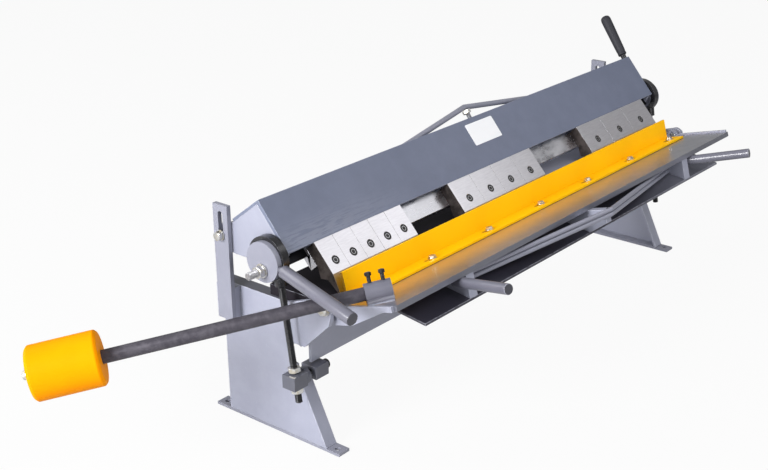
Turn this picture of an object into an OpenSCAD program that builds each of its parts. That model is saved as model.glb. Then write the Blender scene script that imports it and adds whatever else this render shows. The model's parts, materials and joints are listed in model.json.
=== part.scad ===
// Box and pan brake: a hand-operated sheet metal folder, lengths in mm.
// X runs along the machine, the operator stands at -Y and the floor is z = 0.
// It is drawn as seen: beam clamped down, folding apron raised, cam handles apart.

/* [Working length] */
// length of the bending edge
work_length = 1219.2; // [1100:0.1:1300]
// width of each narrow finger
narrow_width = 50.8; // [46:0.1:54]
// width of each medium finger
medium_width = 76.2; // [70:0.1:80]
// width of each wide finger
wide_width = 101.6; // [96:0.1:106]
// how many narrow fingers stand at the left end
narrow_count = 5; // [3:1:5]
// how many medium fingers stand in the middle
medium_count = 4; // [2:1:4]
// how many wide fingers stand at the right end
wide_count = 3; // [2:1:3]
// how far the middle fingers are off centre, toward the left
medium_shift = 46.6; // [30:0.1:60]
// gap between neighbouring fingers
finger_gap = 0.4; // [0.2:0.1:1]

/* [Stands] */
// distance from the end of the bending edge to the outside of a stand
stand_margin = 49.4; // [44:0.1:60]
// plate thickness of the stands, feet and flanges
stand_plate = 6; // [5:0.5:8]
// top of the stands
stand_top = 290; // [286:1:291]
// rear edge of the stands
stand_rear = 128; // [122:1:130]
// width of the folded flanges and of the foot
flange_width = 30; // [26:1:32]
// half the length of a foot, front to back
foot_reach = 166; // [162:1:175]
// distance from the centre to the bench bolt holes, front to back
foot_hole_y = 150; // [146:1:152]
// distance from the outside of a stand to its bench bolt holes
foot_hole_inset = 14; // [12:1:16]
// radius of the bench bolt holes
foot_hole_r = 5.5; // [4.5:0.5:6.5]
// front edge of a stand at the floor
stand_toe = 134; // [130:1:138]
// front edge of a stand at the middle bend, and its height
stand_knee_y = 80; // [77:1:83]
stand_knee_z = 118; // [114:1:120]
// front edge of a stand under the round relief, and its height
stand_neck_y = 65; // [63:1:67]
stand_neck_z = 150; // [148:1:152]
// front edge of a stand above the relief, and its height
stand_brow_y = 90; // [86:1:94]
stand_brow_z = 228; // [222:1:234]
// radius of the round relief and its centre
relief_r = 21; // [18:1:23]
relief_y = 66; // [64:1:68]
relief_z = 187; // [184:1:190]

/* [Hinge plates] */
// thickness of the hinge plates
hinge_plate_t = 10; // [8:1:11]
// bend line, which is the apron's hinge axis
hinge_y = 149; // [147:0.5:151]
hinge_z = 310; // [309:0.5:311]
// radius of the rounded ear around the hinge bolt
ear_r = 17; // [15:1:19]
// rear lower corner of a hinge plate
ear_rear_y = 81; // [79:1:84]
ear_low_z = 215; // [211:1:219]
// front lower corner of a hinge plate
ear_front_y = 95; // [92:1:98]
// rear end of the plate's sloping top edge
ear_tail_y = 38; // [34:1:42]
// knee of the plate's top edge
ear_knee_y = 96; // [93:1:99]
ear_knee_z = 311; // [306:1:312]
// radius of the hinge bolts
hinge_bolt_r = 8; // [7:0.5:8.5]
// head height of the hinge bolts
hinge_head = 10; // [8:1:12]

/* [Bed] */
// top of the bed
bed_top = 312; // [311.5:0.1:312.3]
// rear edge of the bed
bed_rear = 5; // [2:1:10]
// gap between the bed's nose and the bend line
nose_gap = 1.5; // [1.4:0.1:2]
// thickness of the nose lip
nose_lip = 6.5; // [5.5:0.5:7]
// how far the bed's front face stands behind the bend line
bed_setback = 13; // [12.5:0.5:15]
// how far the apron's end plates need the bed notched, front to back
bed_notch = 44; // [42:1:48]
// thickness of the web under the bed
web_t = 6; // [5:0.5:8]
// front face of the web
web_front = 84; // [82:1:85]
// lower edge of the web
web_low = 168; // [166:1:172]
// how far the web and the bed's nose stop short of the stands
end_gap = 19; // [17:1:21]

/* [Guide bars] */
// thickness of the spacer blocks and of the guide bars
spacer_t = 17; // [15:0.5:19]
guide_t = 10; // [8:0.5:12]
// spacer block, front edge and lower edge
spacer_front = 80; // [76:1:84]
spacer_low = 217; // [212:1:222]
// guide bar, front and rear edges
guide_front = 77; // [75:1:79]
guide_rear = 115; // [113:1:118]
// guide bar, lower and upper ends
guide_low = 224; // [220:1:228]
guide_top = 460; // [456:1:466]
// slot in a guide bar, lower and upper ends
slot_low = 388; // [386:1:389]
slot_high = 447; // [444:1:450]
// radius of the guide bolts
guide_bolt_r = 6; // [5:0.5:6.5]
// height of the guide bolts
guide_bolt_z = 399; // [398:0.5:401]

/* [Upper beam] */
// gap between the beam's ends and the guide bars
guide_gap = 2; // [1.5:0.1:2.5]
// thickness of the beam's end plates
beam_end_t = 10; // [8:0.5:12]
// thickness of the sloping front plate and of the rear plate
beam_front_t = 8; // [6:0.5:9]
beam_rear_t = 6; // [5:0.5:7]
// ridge of the beam
ridge_y = 5; // [3:1:7]
ridge_z = 487; // [484:1:492]
// lower front lip of the sloping plate
lip_y = 69; // [68:0.5:70]
lip_z = 399.5; // [398.5:0.5:401]
// rear lip of the beam
tail_y = 76; // [74:1:77]
tail_z = 432.5; // [431:0.5:434]
// lower edge of the end plates, and where it starts at the front
end_low = 362.5; // [361:0.5:364]
end_front = 45; // [43:1:47]
// rear end of that lower edge
end_rear = 74; // [72:1:78]
// rear edge of the tab that carries the guide bolt, and its lower corner
tab_rear = 117; // [116.5:0.5:119]
tab_low = 374; // [370:1:376]
tab_high = 412; // [410:1:414]
// radius of the lobe around a cam stud
lobe_r = 20; // [18:1:22]
// how far the clamp rail rises above the fingers
rail_rise = 10.5; // [9:0.5:11]
// height of the rail's face and its thickness
rail_face = 49.5; // [47:0.5:50]
rail_t = 20; // [16:1:20]
// height and thickness of the rail's necks, which reach the end plates
neck_face = 24; // [20:1:28]
neck_t = 10; // [8:1:14]

/* [Fingers] */
// top edge of a finger's face
finger_top_y = 71.5; // [71.3:0.1:72]
finger_top_z = 401.4; // [400.6:0.1:401.5]
// knee of the face, where the nose gets steeper
knee_y = 118; // [117:0.5:119]
knee_z = 349.5; // [349:0.5:351]
// tip of the nose
nose_y = 136; // [134:0.5:137]
nose_z = 312.6; // [312.5:0.1:313]
// width of the flat under the nose
nose_flat = 4.5; // [3.5:0.5:5.5]
// front and rear of the finger's foot, and their heights
foot_front_y = 105; // [103:1:107]
foot_front_z = 334; // [332:1:335]
foot_rear_y = 87; // [86:1:88]
foot_rear_z = 332; // [331:0.5:333]
// thickness of a finger
finger_t = 26; // [25:0.5:26.5]
// gap between the rail's lower edge and a finger's heel
heel_gap = 3.7; // [3:0.1:4.5]
// set screw, distance down the face, radius and length
screw_down = 46.7; // [46:0.1:48]
screw_r = 6; // [5:0.5:7]
screw_length = 24; // [20:1:25]
// countersink around a set screw, radius and depth
sink_r = 9; // [8:0.5:11]
sink_depth = 2.5; // [1.5:0.5:3]
// hexagon socket, width across corners and depth
socket_corner = 6.9; // [6:0.1:7.4]
socket_depth = 6; // [4:0.5:8]

/* [Rear truss rod] */
// radius of the rod and of the threaded end of its post
truss_r = 6; // [5:0.5:6.5]
post_r = 5; // [4:0.5:6]
// height of the adjusting nut on the post
truss_nut_t = 8; // [6:0.5:9]
// apex of the rod
apex_y = 33; // [32:0.5:35]
apex_z = 502; // [501:0.5:505]
// where the rod's ends are welded to the rear plate, sideways and down from the ridge
anchor_x = 212; // [200:1:225]
anchor_down = 19; // [18:0.5:22]

/* [Cams] */
// cam pivot
pivot_y = 32; // [31:0.5:33]
pivot_z = 367; // [366.5:0.5:368]
// offset of the round cam from its pivot
cam_offset = 16; // [14:0.5:16]
// radius of the round cam and of its outer disc
cam_r = 31; // [29:0.5:31]
disc_r = 39.5; // [38:0.5:41]
// thickness of the outer disc
disc_t = 11; // [9:0.5:12]
// radius and thickness of the strap ring
ring_r = 44.5; // [43.5:0.5:46]
ring_t = 16.5; // [16:0.5:18]
// play of the cam in the strap ring
ring_play = 2.8; // [2.8:0.1:3.5]
// where the ring sits on the cam at rest, back and up
ring_back = 1; // [0.8:0.1:1.2]
ring_up = 2.2; // [2:0.1:2.3]
// gap between a beam end and the strap ring
ring_gap = 5; // [3:0.5:6]
// radius of the cam stud, and how far it stands out of the disc
stud_r = 8; // [7:0.5:8]
stud_out = 38; // [34:1:42]
// height of the nut on a stud
stud_nut = 12; // [10:0.5:14]
// left handle, radius and length
plain_r = 12.5; // [10:0.5:13]
plain_length = 200; // [150:1:220]
// angle of the left handle under the horizontal
plain_dip = 7.5; // [4:0.5:10]
// right handle, radius of its rod
grip_rod_r = 7; // [6:0.5:8]
// angle of the right handle above the horizontal, to the rear
grip_rise = 50.5; // [45:0.5:56]
// length of the rod up to the grip, and length of the grip
grip_start = 122; // [110:1:130]
grip_length = 116; // [100:1:125]
// radius of the grip at its ends
grip_low_r = 11; // [10:0.5:12]
grip_high_r = 13; // [12:0.5:14]
// outward lean of both handles
handle_lean = 10; // [8:0.5:12]
// radius and depth of a handle's threaded end in the disc
spigot_r = 3.5; // [3:0.5:4]
spigot_depth = 14; // [10:1:16]

/* [Link rods] */
// lower pivot of the links
link_y = 87; // [86.5:0.5:87.5]
link_z = 152; // [151:0.5:153]
// radius of the link rods
rod_r = 7; // [6.5:0.5:8]
// lean of the link rods from upright
rod_lean = 8.33; // [8:0.1:8.6]
// length of a rod under the pivot
rod_under = 46; // [40:1:52]
// radius of the lug that joins rod and ring
lug_r = 12; // [11:0.5:12]
// pivot block, length along X, depth and height
block_length = 46; // [44:0.5:47]
block_depth = 32; // [28:1:34]
block_height = 28; // [26:1:30]
// gap between a stand and its pivot block
block_gap = 2; // [1:0.5:3]
// radius of the boss at the block's inner end
boss_r = 17; // [15:0.5:18]
// length of that boss
boss_length = 10; // [8:1:12]
// pivot screw radius
pin_r = 6; // [5:0.5:6.5]
// bracket, length along X, height and front face
bracket_length = 36; // [32:1:40]
bracket_height = 26; // [24:1:28]
bracket_front = 103; // [100:1:105]
// distance from the outside of a stand to its bracket
bracket_inset = 11; // [10:0.5:12]
// nut on the rod, width across corners and height
nut_corner = 25.4; // [24:0.1:28]
nut_height = 10; // [8:0.5:12]

/* [Apron] */
// angle of the apron plate above the horizontal, as seen
apron_rise = 15; // [10:0.5:18]
// depth and thickness of the apron plate
apron_depth = 153; // [145:1:160]
apron_t = 11; // [9:0.5:11.5]
// gap between the bend line and the plate's rear edge
apron_start = 6; // [5.5:0.5:7]
// gap between a stand and the apron's end plate, and its thickness
apron_gap = 7; // [6:0.5:8]
apron_end_t = 7; // [6:0.5:8]
// depth of the apron's end plates, and how far that depth runs from the bend line
apron_end_depth = 38; // [34:1:40]
apron_end_knee = 42; // [36:1:50]
// where those plates have become as shallow as the apron plate
apron_end_tip = 125; // [115:1:135]
// length of those plates from the bend line
apron_end_length = 146; // [140:1:150]
// how far the right one stands above the apron plate
apron_end_rise = 4; // [3:0.5:5]
// distance from the end plates to the sloping lower plate's ends, and its thickness
lower_inset = 70; // [62:1:85]
lower_t = 5; // [4:0.5:6]
// lower plate, rear edge under the apron plate
lower_start = 38; // [34:1:42]
// lower plate, front edge and how far it hangs down
lower_end = 148; // [144:1:150]
lower_drop = 59; // [56:1:60]
// distance from the centre to the two gussets, and gusset thickness
gusset_x = 425; // [415:1:435]
gusset_t = 24; // [20:1:28]
// centre strut, how far it reaches forward and its height
strut_reach = 193; // [191:0.5:195]
strut_height = 40; // [36:1:42]
strut_t = 20; // [16:1:24]
// truss rods: radius, where they start and how far they pass the strut
tie_r = 4.7; // [4:0.1:4.8]
tie_start = 107; // [105:0.5:109]
tie_past_strut = 9.4; // [8.5:0.1:11]
// the pair's middle under the plate's top, at the strut and at the gussets
tie_drop = 17.9; // [17:0.1:19]
tie_end_drop = 30.4; // [29.4:0.1:30.5]
// spacing of the two rods, one over the other
tie_pitch = 10; // [9.9:0.1:10.5]
// pull handles, radius, and distance from the centre to their tips
pull_r = 10.5; // [9:0.5:11]
pull_tip_x = 487; // [480:1:492]
// how far they reach and where they start under the plate
pull_reach = 281; // [262:1:282]
pull_root = 128; // [120:1:134]

/* [Angle bar] */
// distance from the end plates to the yellow angle bar's ends, its leg and thickness
angle_inset = 35; // [30:1:45]
angle_leg = 50; // [45:1:50]
angle_t = 5; // [4:0.5:5]
// distance from its ends to the outer bolts, and the number of bolts
bolt_inset = 34; // [25:1:60]
bolt_count = 7; // [5:2:7]
// distance of those bolts from the bend line
bolt_f = 29.5; // [28:0.5:32]
// radius of the bolts, and the radius across corners and height of their heads
bolt_r = 4; // [3:0.5:4.5]
bolt_head_r = 7.5; // [6.5:0.5:8]
bolt_head = 5; // [4:0.5:6]
// radius and thickness of the washers under them
bolt_washer_r = 9.5; // [8:0.5:10]
bolt_washer_t = 1.6; // [1.2:0.1:2]

/* [Counterweight] */
// direction of the lever bar, turned rearward from the left
lever_turn = 42; // [40:0.5:44]
// lever bar radius and length
lever_r = 12.7; // [11:0.1:12.7]
lever_length = 652; // [600:1:660]
// sleeve, length, radius and height of the bar in it
sleeve_length = 50; // [46:1:60]
sleeve_r = 18.5; // [17:0.5:19]
sleeve_height = 19.5; // [19.2:0.1:21]
// width of the sleeve's foot
sleeve_foot = 32; // [28:1:33]
// how far the sleeve sits past the end of the bending edge, and how far forward
sleeve_out = 30.4; // [22.4:0.1:32.4]
sleeve_f = 80; // [76:1:84]
// weight, radius and length
weight_r = 51; // [45:0.5:54]
weight_length = 127; // [110:1:135]
// radius of the rounded rim
weight_rim = 5; // [3:0.5:8]
// end screw radius and how far it stands out
end_screw_r = 9; // [8:0.5:11]
end_screw = 14; // [10:1:20]

/* [Fits] */
// radial clearance of a turning or sliding fit
run_fit = 0.05; // [0.02:0.01:0.1]
// space left between pieces that move past each other
air = 0.3; // [0.2:0.1:0.5]
// weld depth where a rod meets a plate
weld = 1; // [0.5:0.1:1.5]

/* [Hidden] */
$fn = 64;
half_work = work_length / 2;
// X positions, from the centre outward on both sides
stand_out = half_work + stand_margin;
stand_in = stand_out - stand_plate;
hinge_out = stand_out + hinge_plate_t;
guide_in = stand_out + spacer_t;
guide_out = guide_in + guide_t;
beam_out = guide_in - guide_gap;
beam_in = beam_out - beam_end_t;
ring_in = beam_out + ring_gap;
ring_out = ring_in + ring_t;
rod_x = ring_in + ring_t / 2;
disc_in = ring_out + air;
disc_out = disc_in + disc_t;
disc_mid = disc_in + disc_t / 2;
stud_end = disc_out + stud_out;
apron_out = stand_out - apron_gap;
apron_in = apron_out - apron_end_t;
nose_out = stand_out - end_gap;
lower_half = apron_in - lower_inset;
sleeve_x = half_work + sleeve_out;
tie_reach = strut_reach + tie_past_strut;
angle_half = apron_in - angle_inset;
bolt_pitch = 2 * (angle_half - bolt_inset) / (bolt_count - 1);
tie_x = gusset_x - gusset_t / 2;
// part of the way along, as shares
half_share = 0.5;
head_share = 1.6;
nut_share = 1.95;
washer_share = 1.75;
washer_thin_share = 0.2;
// the cam, its strap ring and the link between ring and lower pivot
cam_centre = [-pivot_y, pivot_z + cam_offset];
ring_centre = cam_centre + [ring_back, ring_up];
rod_way = [0, sin(rod_lean), cos(rod_lean)];
rod_run = (ring_centre.y - link_z) / cos(rod_lean);
rod_side = ring_centre.x + link_y - rod_run * sin(rod_lean);
rod_top = rod_run + rod_side * sin(rod_lean)
    - sqrt(ring_r * ring_r - pow(rod_side * cos(rod_lean), 2));
// directions across and into the slope of the fingers' face
face_long = norm([knee_y - finger_top_y, finger_top_z - knee_z]);
down = [finger_top_y - knee_y, knee_z - finger_top_z] / face_long;
inward = [-down.y, down.x];
finger_top = [-finger_top_y, finger_top_z];
rail_top = finger_top - down * rail_rise + inward * (finger_t + air);
// directions along and into the beam's plates
front_slope = unit([ridge_y + lip_y, ridge_z - lip_z]);
rear_slope = unit([tail_y - ridge_y, tail_z - ridge_z]);
ridge = [ridge_y, ridge_z];
lip = [-lip_y, lip_z];
tail = [tail_y, tail_z];
lever_way = [-cos(lever_turn), sin(lever_turn), 0];

frame_grey = [0.42, 0.43, 0.47];
beam_grey = [0.35, 0.37, 0.42];
steel = [0.72, 0.72, 0.72];
zinc = [0.82, 0.82, 0.8];
black = [0.07, 0.07, 0.08];
yellow = [1, 0.7, 0.02];

function unit(v) = v / norm(v);
function inner(v) = [v.y, -v.x];
function along(p, way, far) = p + way * far;

// a flat shape in the Y-Z plane, given as [y, z] points, spread along X
module plate(points, from, to)
    translate([min(from, to), 0, 0])
        rotate([90, 0, 90])
            linear_extrude(abs(to - from))
                polygon(points);

// a round bar along X
module round_x(from, to, y, z, r)
    translate([min(from, to), y, z])
        rotate([0, 90, 0])
            cylinder(h = abs(to - from), r = r);

// a hexagon along X, its width given across the corners
module hex_x(from, to, y, z, corner)
    translate([min(from, to), y, z])
        rotate([0, 90, 0])
            cylinder(h = abs(to - from), r = corner / 2, $fn = 6);

// a round bar that starts at one point and runs toward another
module bar(start, way, length, r)
    translate(start)
        rotate([0, acos(way.z / norm(way)), atan2(way.y, way.x)])
            cylinder(h = length, r = r);

// a turned shape, its [radius, height] points spun around a line from one point toward another
module spun(start, way, points)
    translate(start)
        rotate([0, acos(way.z / norm(way)), atan2(way.y, way.x)])
            rotate_extrude()
                polygon(points);

// a hexagon on a slanted line
module hex_bar(start, way, length, corner)
    translate(start)
        rotate([0, acos(way.z / norm(way)), atan2(way.y, way.x)])
            cylinder(h = length, r = corner / 2, $fn = 6);

// a box given by two corners
module block(low, high)
    translate(low)
        cube(high - low);

// the apron's own frame: -Y forward in the plate, Z square to it, origin on the bend line
module on_apron()
    translate([0, -hinge_y, hinge_z])
        rotate([-apron_rise, 0, 0])
            children();

// stands, feet and hinge plates

function stand_edge() = [
    [-stand_toe, stand_plate], [-stand_knee_y, stand_knee_z], [-stand_neck_y, stand_neck_z]];

module stand(side) {
    front = stand_edge();
    difference() {
        plate(concat(front, [[-stand_neck_y, relief_z], [-stand_brow_y, stand_brow_z],
            [-stand_brow_y, stand_top], [stand_rear, stand_top], [stand_rear, stand_plate]]),
            side * stand_in, side * stand_out);
        round_x(side * (stand_in - air), side * (stand_out + air), -relief_y, relief_z, relief_r);
    }
    front_flange(side, front);
    top_flange(side);
}

module front_flange(side, front) {
    way = unit(front[1] - front[0]);
    into = inner(way) * stand_plate;
    plate([front[0], front[1], front[2], front[2] + [stand_plate, 0],
        [front[1].x + stand_plate / way.y, front[1].y],
        [front[0].x + stand_plate / way.y, front[0].y]],
        side * (stand_out - flange_width), side * stand_in);
}

module top_flange(side)
    block([min(side * (stand_out - flange_width), side * stand_in), -stand_neck_y,
        stand_top - stand_plate],
        [max(side * (stand_out - flange_width), side * stand_in), stand_rear, stand_top]);

module stand_left() color(frame_grey) stand(-1);
module stand_right() color(frame_grey) stand(1);

module feet()
    color(frame_grey)
        for (side = [-1, 1])
            difference() {
                block([min(side * (stand_out - flange_width), side * stand_out), -foot_reach, 0],
                    [max(side * (stand_out - flange_width), side * stand_out), foot_reach,
                    stand_plate]);
                for (end = [-1, 1])
                    translate([side * (stand_out - foot_hole_inset), end * foot_hole_y, -air])
                        cylinder(h = stand_plate + 2 * air, r = foot_hole_r);
            }

module hinge_plates()
    color(frame_grey)
        for (side = [-1, 1])
            difference() {
                union() {
                    plate([[-ear_rear_y, ear_low_z], [-ear_rear_y, stand_top - ear_r],
                        [-ear_tail_y, stand_top], [-ear_knee_y, ear_knee_z],
                        [-hinge_y, hinge_z + ear_r], [-hinge_y - ear_r, hinge_z],
                        [-hinge_y - ear_r * half_share, hinge_z - 2 * ear_r],
                        [-ear_front_y, ear_low_z]],
                        side * stand_out, side * hinge_out);
                    round_x(side * stand_out, side * hinge_out, -hinge_y, hinge_z, ear_r);
                }
                round_x(side * (stand_out - air), side * (hinge_out + air), -hinge_y, hinge_z,
                    hinge_bolt_r);
            }

module hinge_bolts()
    color(zinc)
        for (side = [-1, 1]) {
            round_x(side * apron_in, side * hinge_out, -hinge_y, hinge_z, hinge_bolt_r);
            round_x(side * hinge_out, side * (hinge_out + hinge_bolt_r * washer_thin_share * 2),
                -hinge_y, hinge_z, hinge_bolt_r * washer_share);
            hex_x(side * (hinge_out + hinge_bolt_r * washer_thin_share * 2),
                side * (hinge_out + hinge_head), -hinge_y, hinge_z,
                hinge_bolt_r * head_share * 2);
        }

// bed

function bed_low() = stand_top;

module bed_plate()
    color(frame_grey)
        difference() {
            plate([[-hinge_y + nose_gap, bed_top], [bed_rear, bed_top], [bed_rear, bed_low()],
                [-hinge_y + bed_setback, bed_low()],
                [-hinge_y + bed_setback, bed_top - nose_lip - nose_gap],
                [-hinge_y + bed_setback - nose_gap, bed_top - nose_lip],
                [-hinge_y + nose_gap, bed_top - nose_lip]],
                -stand_in, stand_in);
            for (side = [-1, 1])
                block([min(side * nose_out, side * stand_out), -hinge_y - ear_r, bed_low() - air],
                    [max(side * nose_out, side * stand_out), -hinge_y + bed_notch,
                    bed_top + air]);
        }

module bed_web()
    color(frame_grey)
        block([-nose_out, -web_front, web_low], [nose_out, -web_front + web_t, bed_low()]);

// guide bars

module guide_spacers()
    color(frame_grey)
        for (side = [-1, 1])
            block([min(side * stand_out, side * guide_in), spacer_front, spacer_low],
                [max(side * stand_out, side * guide_in), stand_rear, stand_top]);

function guide_mid() = (guide_front + guide_rear) / 2;

module guide_bar(side)
    difference() {
        block([min(side * guide_in, side * guide_out), guide_front, guide_low],
            [max(side * guide_in, side * guide_out), guide_rear, guide_top]);
        for (z = [slot_low + guide_slot_r(), slot_high - guide_slot_r()])
            round_x(side * (guide_in - air), side * (guide_out + air), guide_mid(), z,
                guide_slot_r());
        block([min(side * (guide_in - air), side * (guide_out + air)),
            guide_mid() - guide_slot_r(), slot_low + guide_slot_r()],
            [max(side * (guide_in - air), side * (guide_out + air)),
            guide_mid() + guide_slot_r(), slot_high - guide_slot_r()]);
    }

function guide_slot_r() = guide_bolt_r + air;

module guide_bar_left() color(frame_grey) guide_bar(-1);
module guide_bar_right() color(frame_grey) guide_bar(1);

// link brackets and their pivot screws

function bracket_out() = stand_out - bracket_inset;

module link_brackets()
    color(frame_grey)
        for (side = [-1, 1])
            difference() {
                plate([[-bracket_front, link_z - bracket_height / 2],
                    [-bracket_front, link_z + bracket_height / 2],
                    [-stand_neck_y, link_z + bracket_height / 2],
                    [-stand_neck_y, stand_neck_z],
                    [-stand_neck_y - (stand_knee_y - stand_neck_y) * (stand_neck_z
                    - link_z + bracket_height / 2) / (stand_neck_z - stand_knee_z),
                    link_z - bracket_height / 2]],
                    side * (bracket_out() - bracket_length), side * bracket_out());
                round_x(side * (bracket_out() - bracket_length - air),
                    side * (bracket_out() + air), -link_y, link_z, pin_r);
            }

module pivot_screws()
    color(black)
        for (side = [-1, 1]) {
            inner_end = bracket_out() - bracket_length;
            difference() {
                union() {
                    round_x(side * inner_end, side * pin_end(), -link_y, link_z, pin_r);
                    round_x(side * (inner_end - 2 * pin_r), side * inner_end, -link_y, link_z,
                        pin_r * head_share);
                }
                hex_x(side * (inner_end - 2 * pin_r - air), side * (inner_end - pin_r), -link_y,
                    link_z, 2 * pin_r);
            }
        }

function block_in() = stand_out + block_gap;
function pin_end() = rod_x - rod_r - weld - run_fit;

// links: pivot block, rod, nuts and strap ring

module pivot_block(side)
    difference() {
        union() {
            block([min(side * (block_in() + boss_length), side * (block_in() + block_length)),
                -link_y - block_depth / 2, link_z - block_height / 2],
                [max(side * (block_in() + boss_length), side * (block_in() + block_length)),
                -link_y + block_depth / 2, link_z + block_height / 2]);
            round_x(side * block_in(), side * (block_in() + boss_length), -link_y, link_z,
                boss_r);
        }
        round_x(side * (block_in() - air), side * (pin_end() + air), -link_y, link_z,
            pin_r + run_fit);
        bar([side * rod_x, -link_y, link_z] - rod_way * block_height, rod_way,
            2 * block_height, rod_r);
    }

module pivot_block_left() color(frame_grey) pivot_block(-1);
module pivot_block_right() color(frame_grey) pivot_block(1);

module link_rod(side)
    bar([side * rod_x, -link_y, link_z] - rod_way * rod_under, rod_way,
        rod_under + rod_top, rod_r);

module link_rod_left() color(black) link_rod(-1);
module link_rod_right() color(black) link_rod(1);

module link_nuts(side)
    for (place = [block_height / 2 + nut_seat(), -block_height / 2 - nut_seat() - nut_height])
        difference() {
            hex_bar([side * rod_x, -link_y, link_z] + rod_way * place, rod_way, nut_height,
                nut_corner);
            bar([side * rod_x, -link_y, link_z] + rod_way * (place - air), rod_way,
                nut_height + 2 * air, rod_r);
        }

// a nut square to the leaning rod touches the level block at one edge
function nut_seat() = nut_corner / 2 * tan(rod_lean) + air;

module link_nuts_left() color(zinc) link_nuts(-1);
module link_nuts_right() color(zinc) link_nuts(1);

module strap_ring(side)
    difference() {
        union() {
            round_x(side * ring_in, side * ring_out, ring_centre.x, ring_centre.y, ring_r);
            bar([side * rod_x, -link_y, link_z] + rod_way * (rod_top - lug_r), rod_way,
                2 * lug_r, lug_r);
        }
        round_x(side * (ring_in - lug_r), side * (ring_out + lug_r), ring_centre.x,
            ring_centre.y, cam_r + ring_play);
        round_x(side * ring_out, side * (ring_out + lug_r), ring_centre.x, ring_centre.y,
            ring_r + air);
        bar([side * rod_x, -link_y, link_z] + rod_way * (rod_top - 2 * lug_r), rod_way,
            2 * lug_r, rod_r);
    }

module strap_ring_left() color(black) strap_ring(-1);
module strap_ring_right() color(black) strap_ring(1);

// upper beam

module beam_front_plate()
    color(beam_grey)
        plate([ridge, lip, along(lip, inner(front_slope), beam_front_t), end_peak()],
            -beam_out, beam_out);

module beam_rear_plate()
    color(beam_grey)
        plate([ridge, tail, along(tail, inner(rear_slope), beam_rear_t), end_peak()],
            -beam_out, beam_out);

function end_shape() = [
    along(lip, inner(front_slope), beam_front_t), [-end_front, end_low],
    [end_rear, end_low], [tab_rear, tab_low], [tab_rear, tab_high],
    along(tail, inner(rear_slope), beam_rear_t), end_peak()];

// where the insides of the two plates meet
function end_peak() =
    let (a = along(lip, inner(front_slope), beam_front_t),
        b = along(tail, inner(rear_slope), beam_rear_t),
        turn = front_slope.x * rear_slope.y - front_slope.y * rear_slope.x,
        far = ((b.x - a.x) * rear_slope.y - (b.y - a.y) * rear_slope.x) / turn)
    a + front_slope * far;

module beam_end(side)
    difference() {
        union() {
            plate(end_shape(), side * beam_in, side * beam_out);
            round_x(side * beam_in, side * beam_out, -pivot_y, pivot_z, lobe_r);
        }
        round_x(side * (beam_in - air), side * (beam_out + air), -pivot_y, pivot_z, stud_r);
        round_x(side * (beam_in - air), side * (beam_out + air), guide_mid(), guide_bolt_z,
            guide_bolt_r);
    }

module beam_end_left() color(frame_grey) beam_end(-1);
module beam_end_right() color(frame_grey) beam_end(1);

module clamp_rail()
    color(steel) {
        plate(strip(rail_face, rail_t), -half_work, half_work);
        for (side = [-1, 1])
            plate(strip(neck_face, neck_t), side * (half_work - weld), side * beam_in);
    }

// section of a flat bar whose upper front edge is the rail's
function strip(face, thick) = [rail_top, rail_top + down * face,
    rail_top + down * face + inward * thick, rail_top + inward * thick];

// fingers

function finger_shape() = [
    finger_top, [-knee_y, knee_z], [-nose_y, nose_z], [-nose_y + nose_flat, nose_z],
    [-foot_front_y, foot_front_z], [-foot_rear_y, foot_rear_z],
    finger_top + down * (heel_down() + weld) + inward * (finger_t + weld),
    finger_top + down * heel_down() + inward * finger_t,
    finger_top + inward * finger_t];

function heel_down() = rail_face - rail_rise + heel_gap;
function screw_spot() = finger_top + down * screw_down;

module finger(x, width) {
    spot = screw_spot();
    difference() {
        plate(finger_shape(), x + finger_gap / 2, x + width - finger_gap / 2);
        bar([x + width / 2, spot.x, spot.y] - face_in() * air, face_in(), screw_length
            + 2 * sink_depth, screw_r + run_fit);
        bar([x + width / 2, spot.x, spot.y] - face_in() * sink_depth, face_in(),
            2 * sink_depth, sink_r);
    }
}

function face_in() = [0, inward.x, inward.y];
function narrow_x(n) = -half_work + n * narrow_width;
function medium_x(n) = -medium_shift + (n - medium_count / 2) * medium_width;
function wide_x(n) = half_work - (wide_count - n) * wide_width;

module fingers_narrow()
    color(steel)
        for (n = [0 : narrow_count - 1])
            finger(narrow_x(n), narrow_width);

module fingers_medium()
    color(steel)
        for (n = [0 : medium_count - 1])
            finger(medium_x(n), medium_width);

module fingers_wide()
    color(steel)
        for (n = [0 : wide_count - 1])
            finger(wide_x(n), wide_width);

module set_screw(x) {
    spot = screw_spot();
    difference() {
        bar([x, spot.x, spot.y] + face_in() * sink_depth, face_in(), screw_length, screw_r);
        hex_bar([x, spot.x, spot.y] + face_in() * (sink_depth - air), face_in(),
            socket_depth + air, socket_corner);
    }
}

module finger_screws()
    color(black) {
        for (n = [0 : narrow_count - 1])
            set_screw(narrow_x(n) + narrow_width / 2);
        for (n = [0 : medium_count - 1])
            set_screw(medium_x(n) + medium_width / 2);
        for (n = [0 : wide_count - 1])
            set_screw(wide_x(n) + wide_width / 2);
    }

// rear truss rod

function apex() = [0, apex_y, apex_z];
function post_way() = [0, -inner(rear_slope).x, -inner(rear_slope).y];
function post_long() = (apex_y - ridge_y) * post_way().y + (apex_z - ridge_z) * post_way().z;

// half of a bent rod: it leaves the plane x = 0 at the kink and runs toward an end
module half_rod(side, kink, end, far, r) {
    way = unit(end - kink);
    difference() {
        bar(kink - way * r, way, norm(end - kink) + r + far, r);
        block([min(-side * beam_out, 0), kink.y - 4 * r, kink.z - 4 * r],
            [max(-side * beam_out, 0), kink.y + 4 * r, kink.z + 4 * r]);
    }
}

module beam_truss_rod()
    color(frame_grey)
        difference() {
            for (side = [-1, 1])
                half_rod(side, apex(), anchor(side), truss_run(), truss_r);
            plate([along(ridge, rear_slope, -4 * truss_r), tail,
                along(tail, inner(rear_slope), 6 * truss_r),
                along(ridge, rear_slope, -4 * truss_r) + inner(rear_slope) * 6 * truss_r],
                -beam_out, beam_out);
        }

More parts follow.
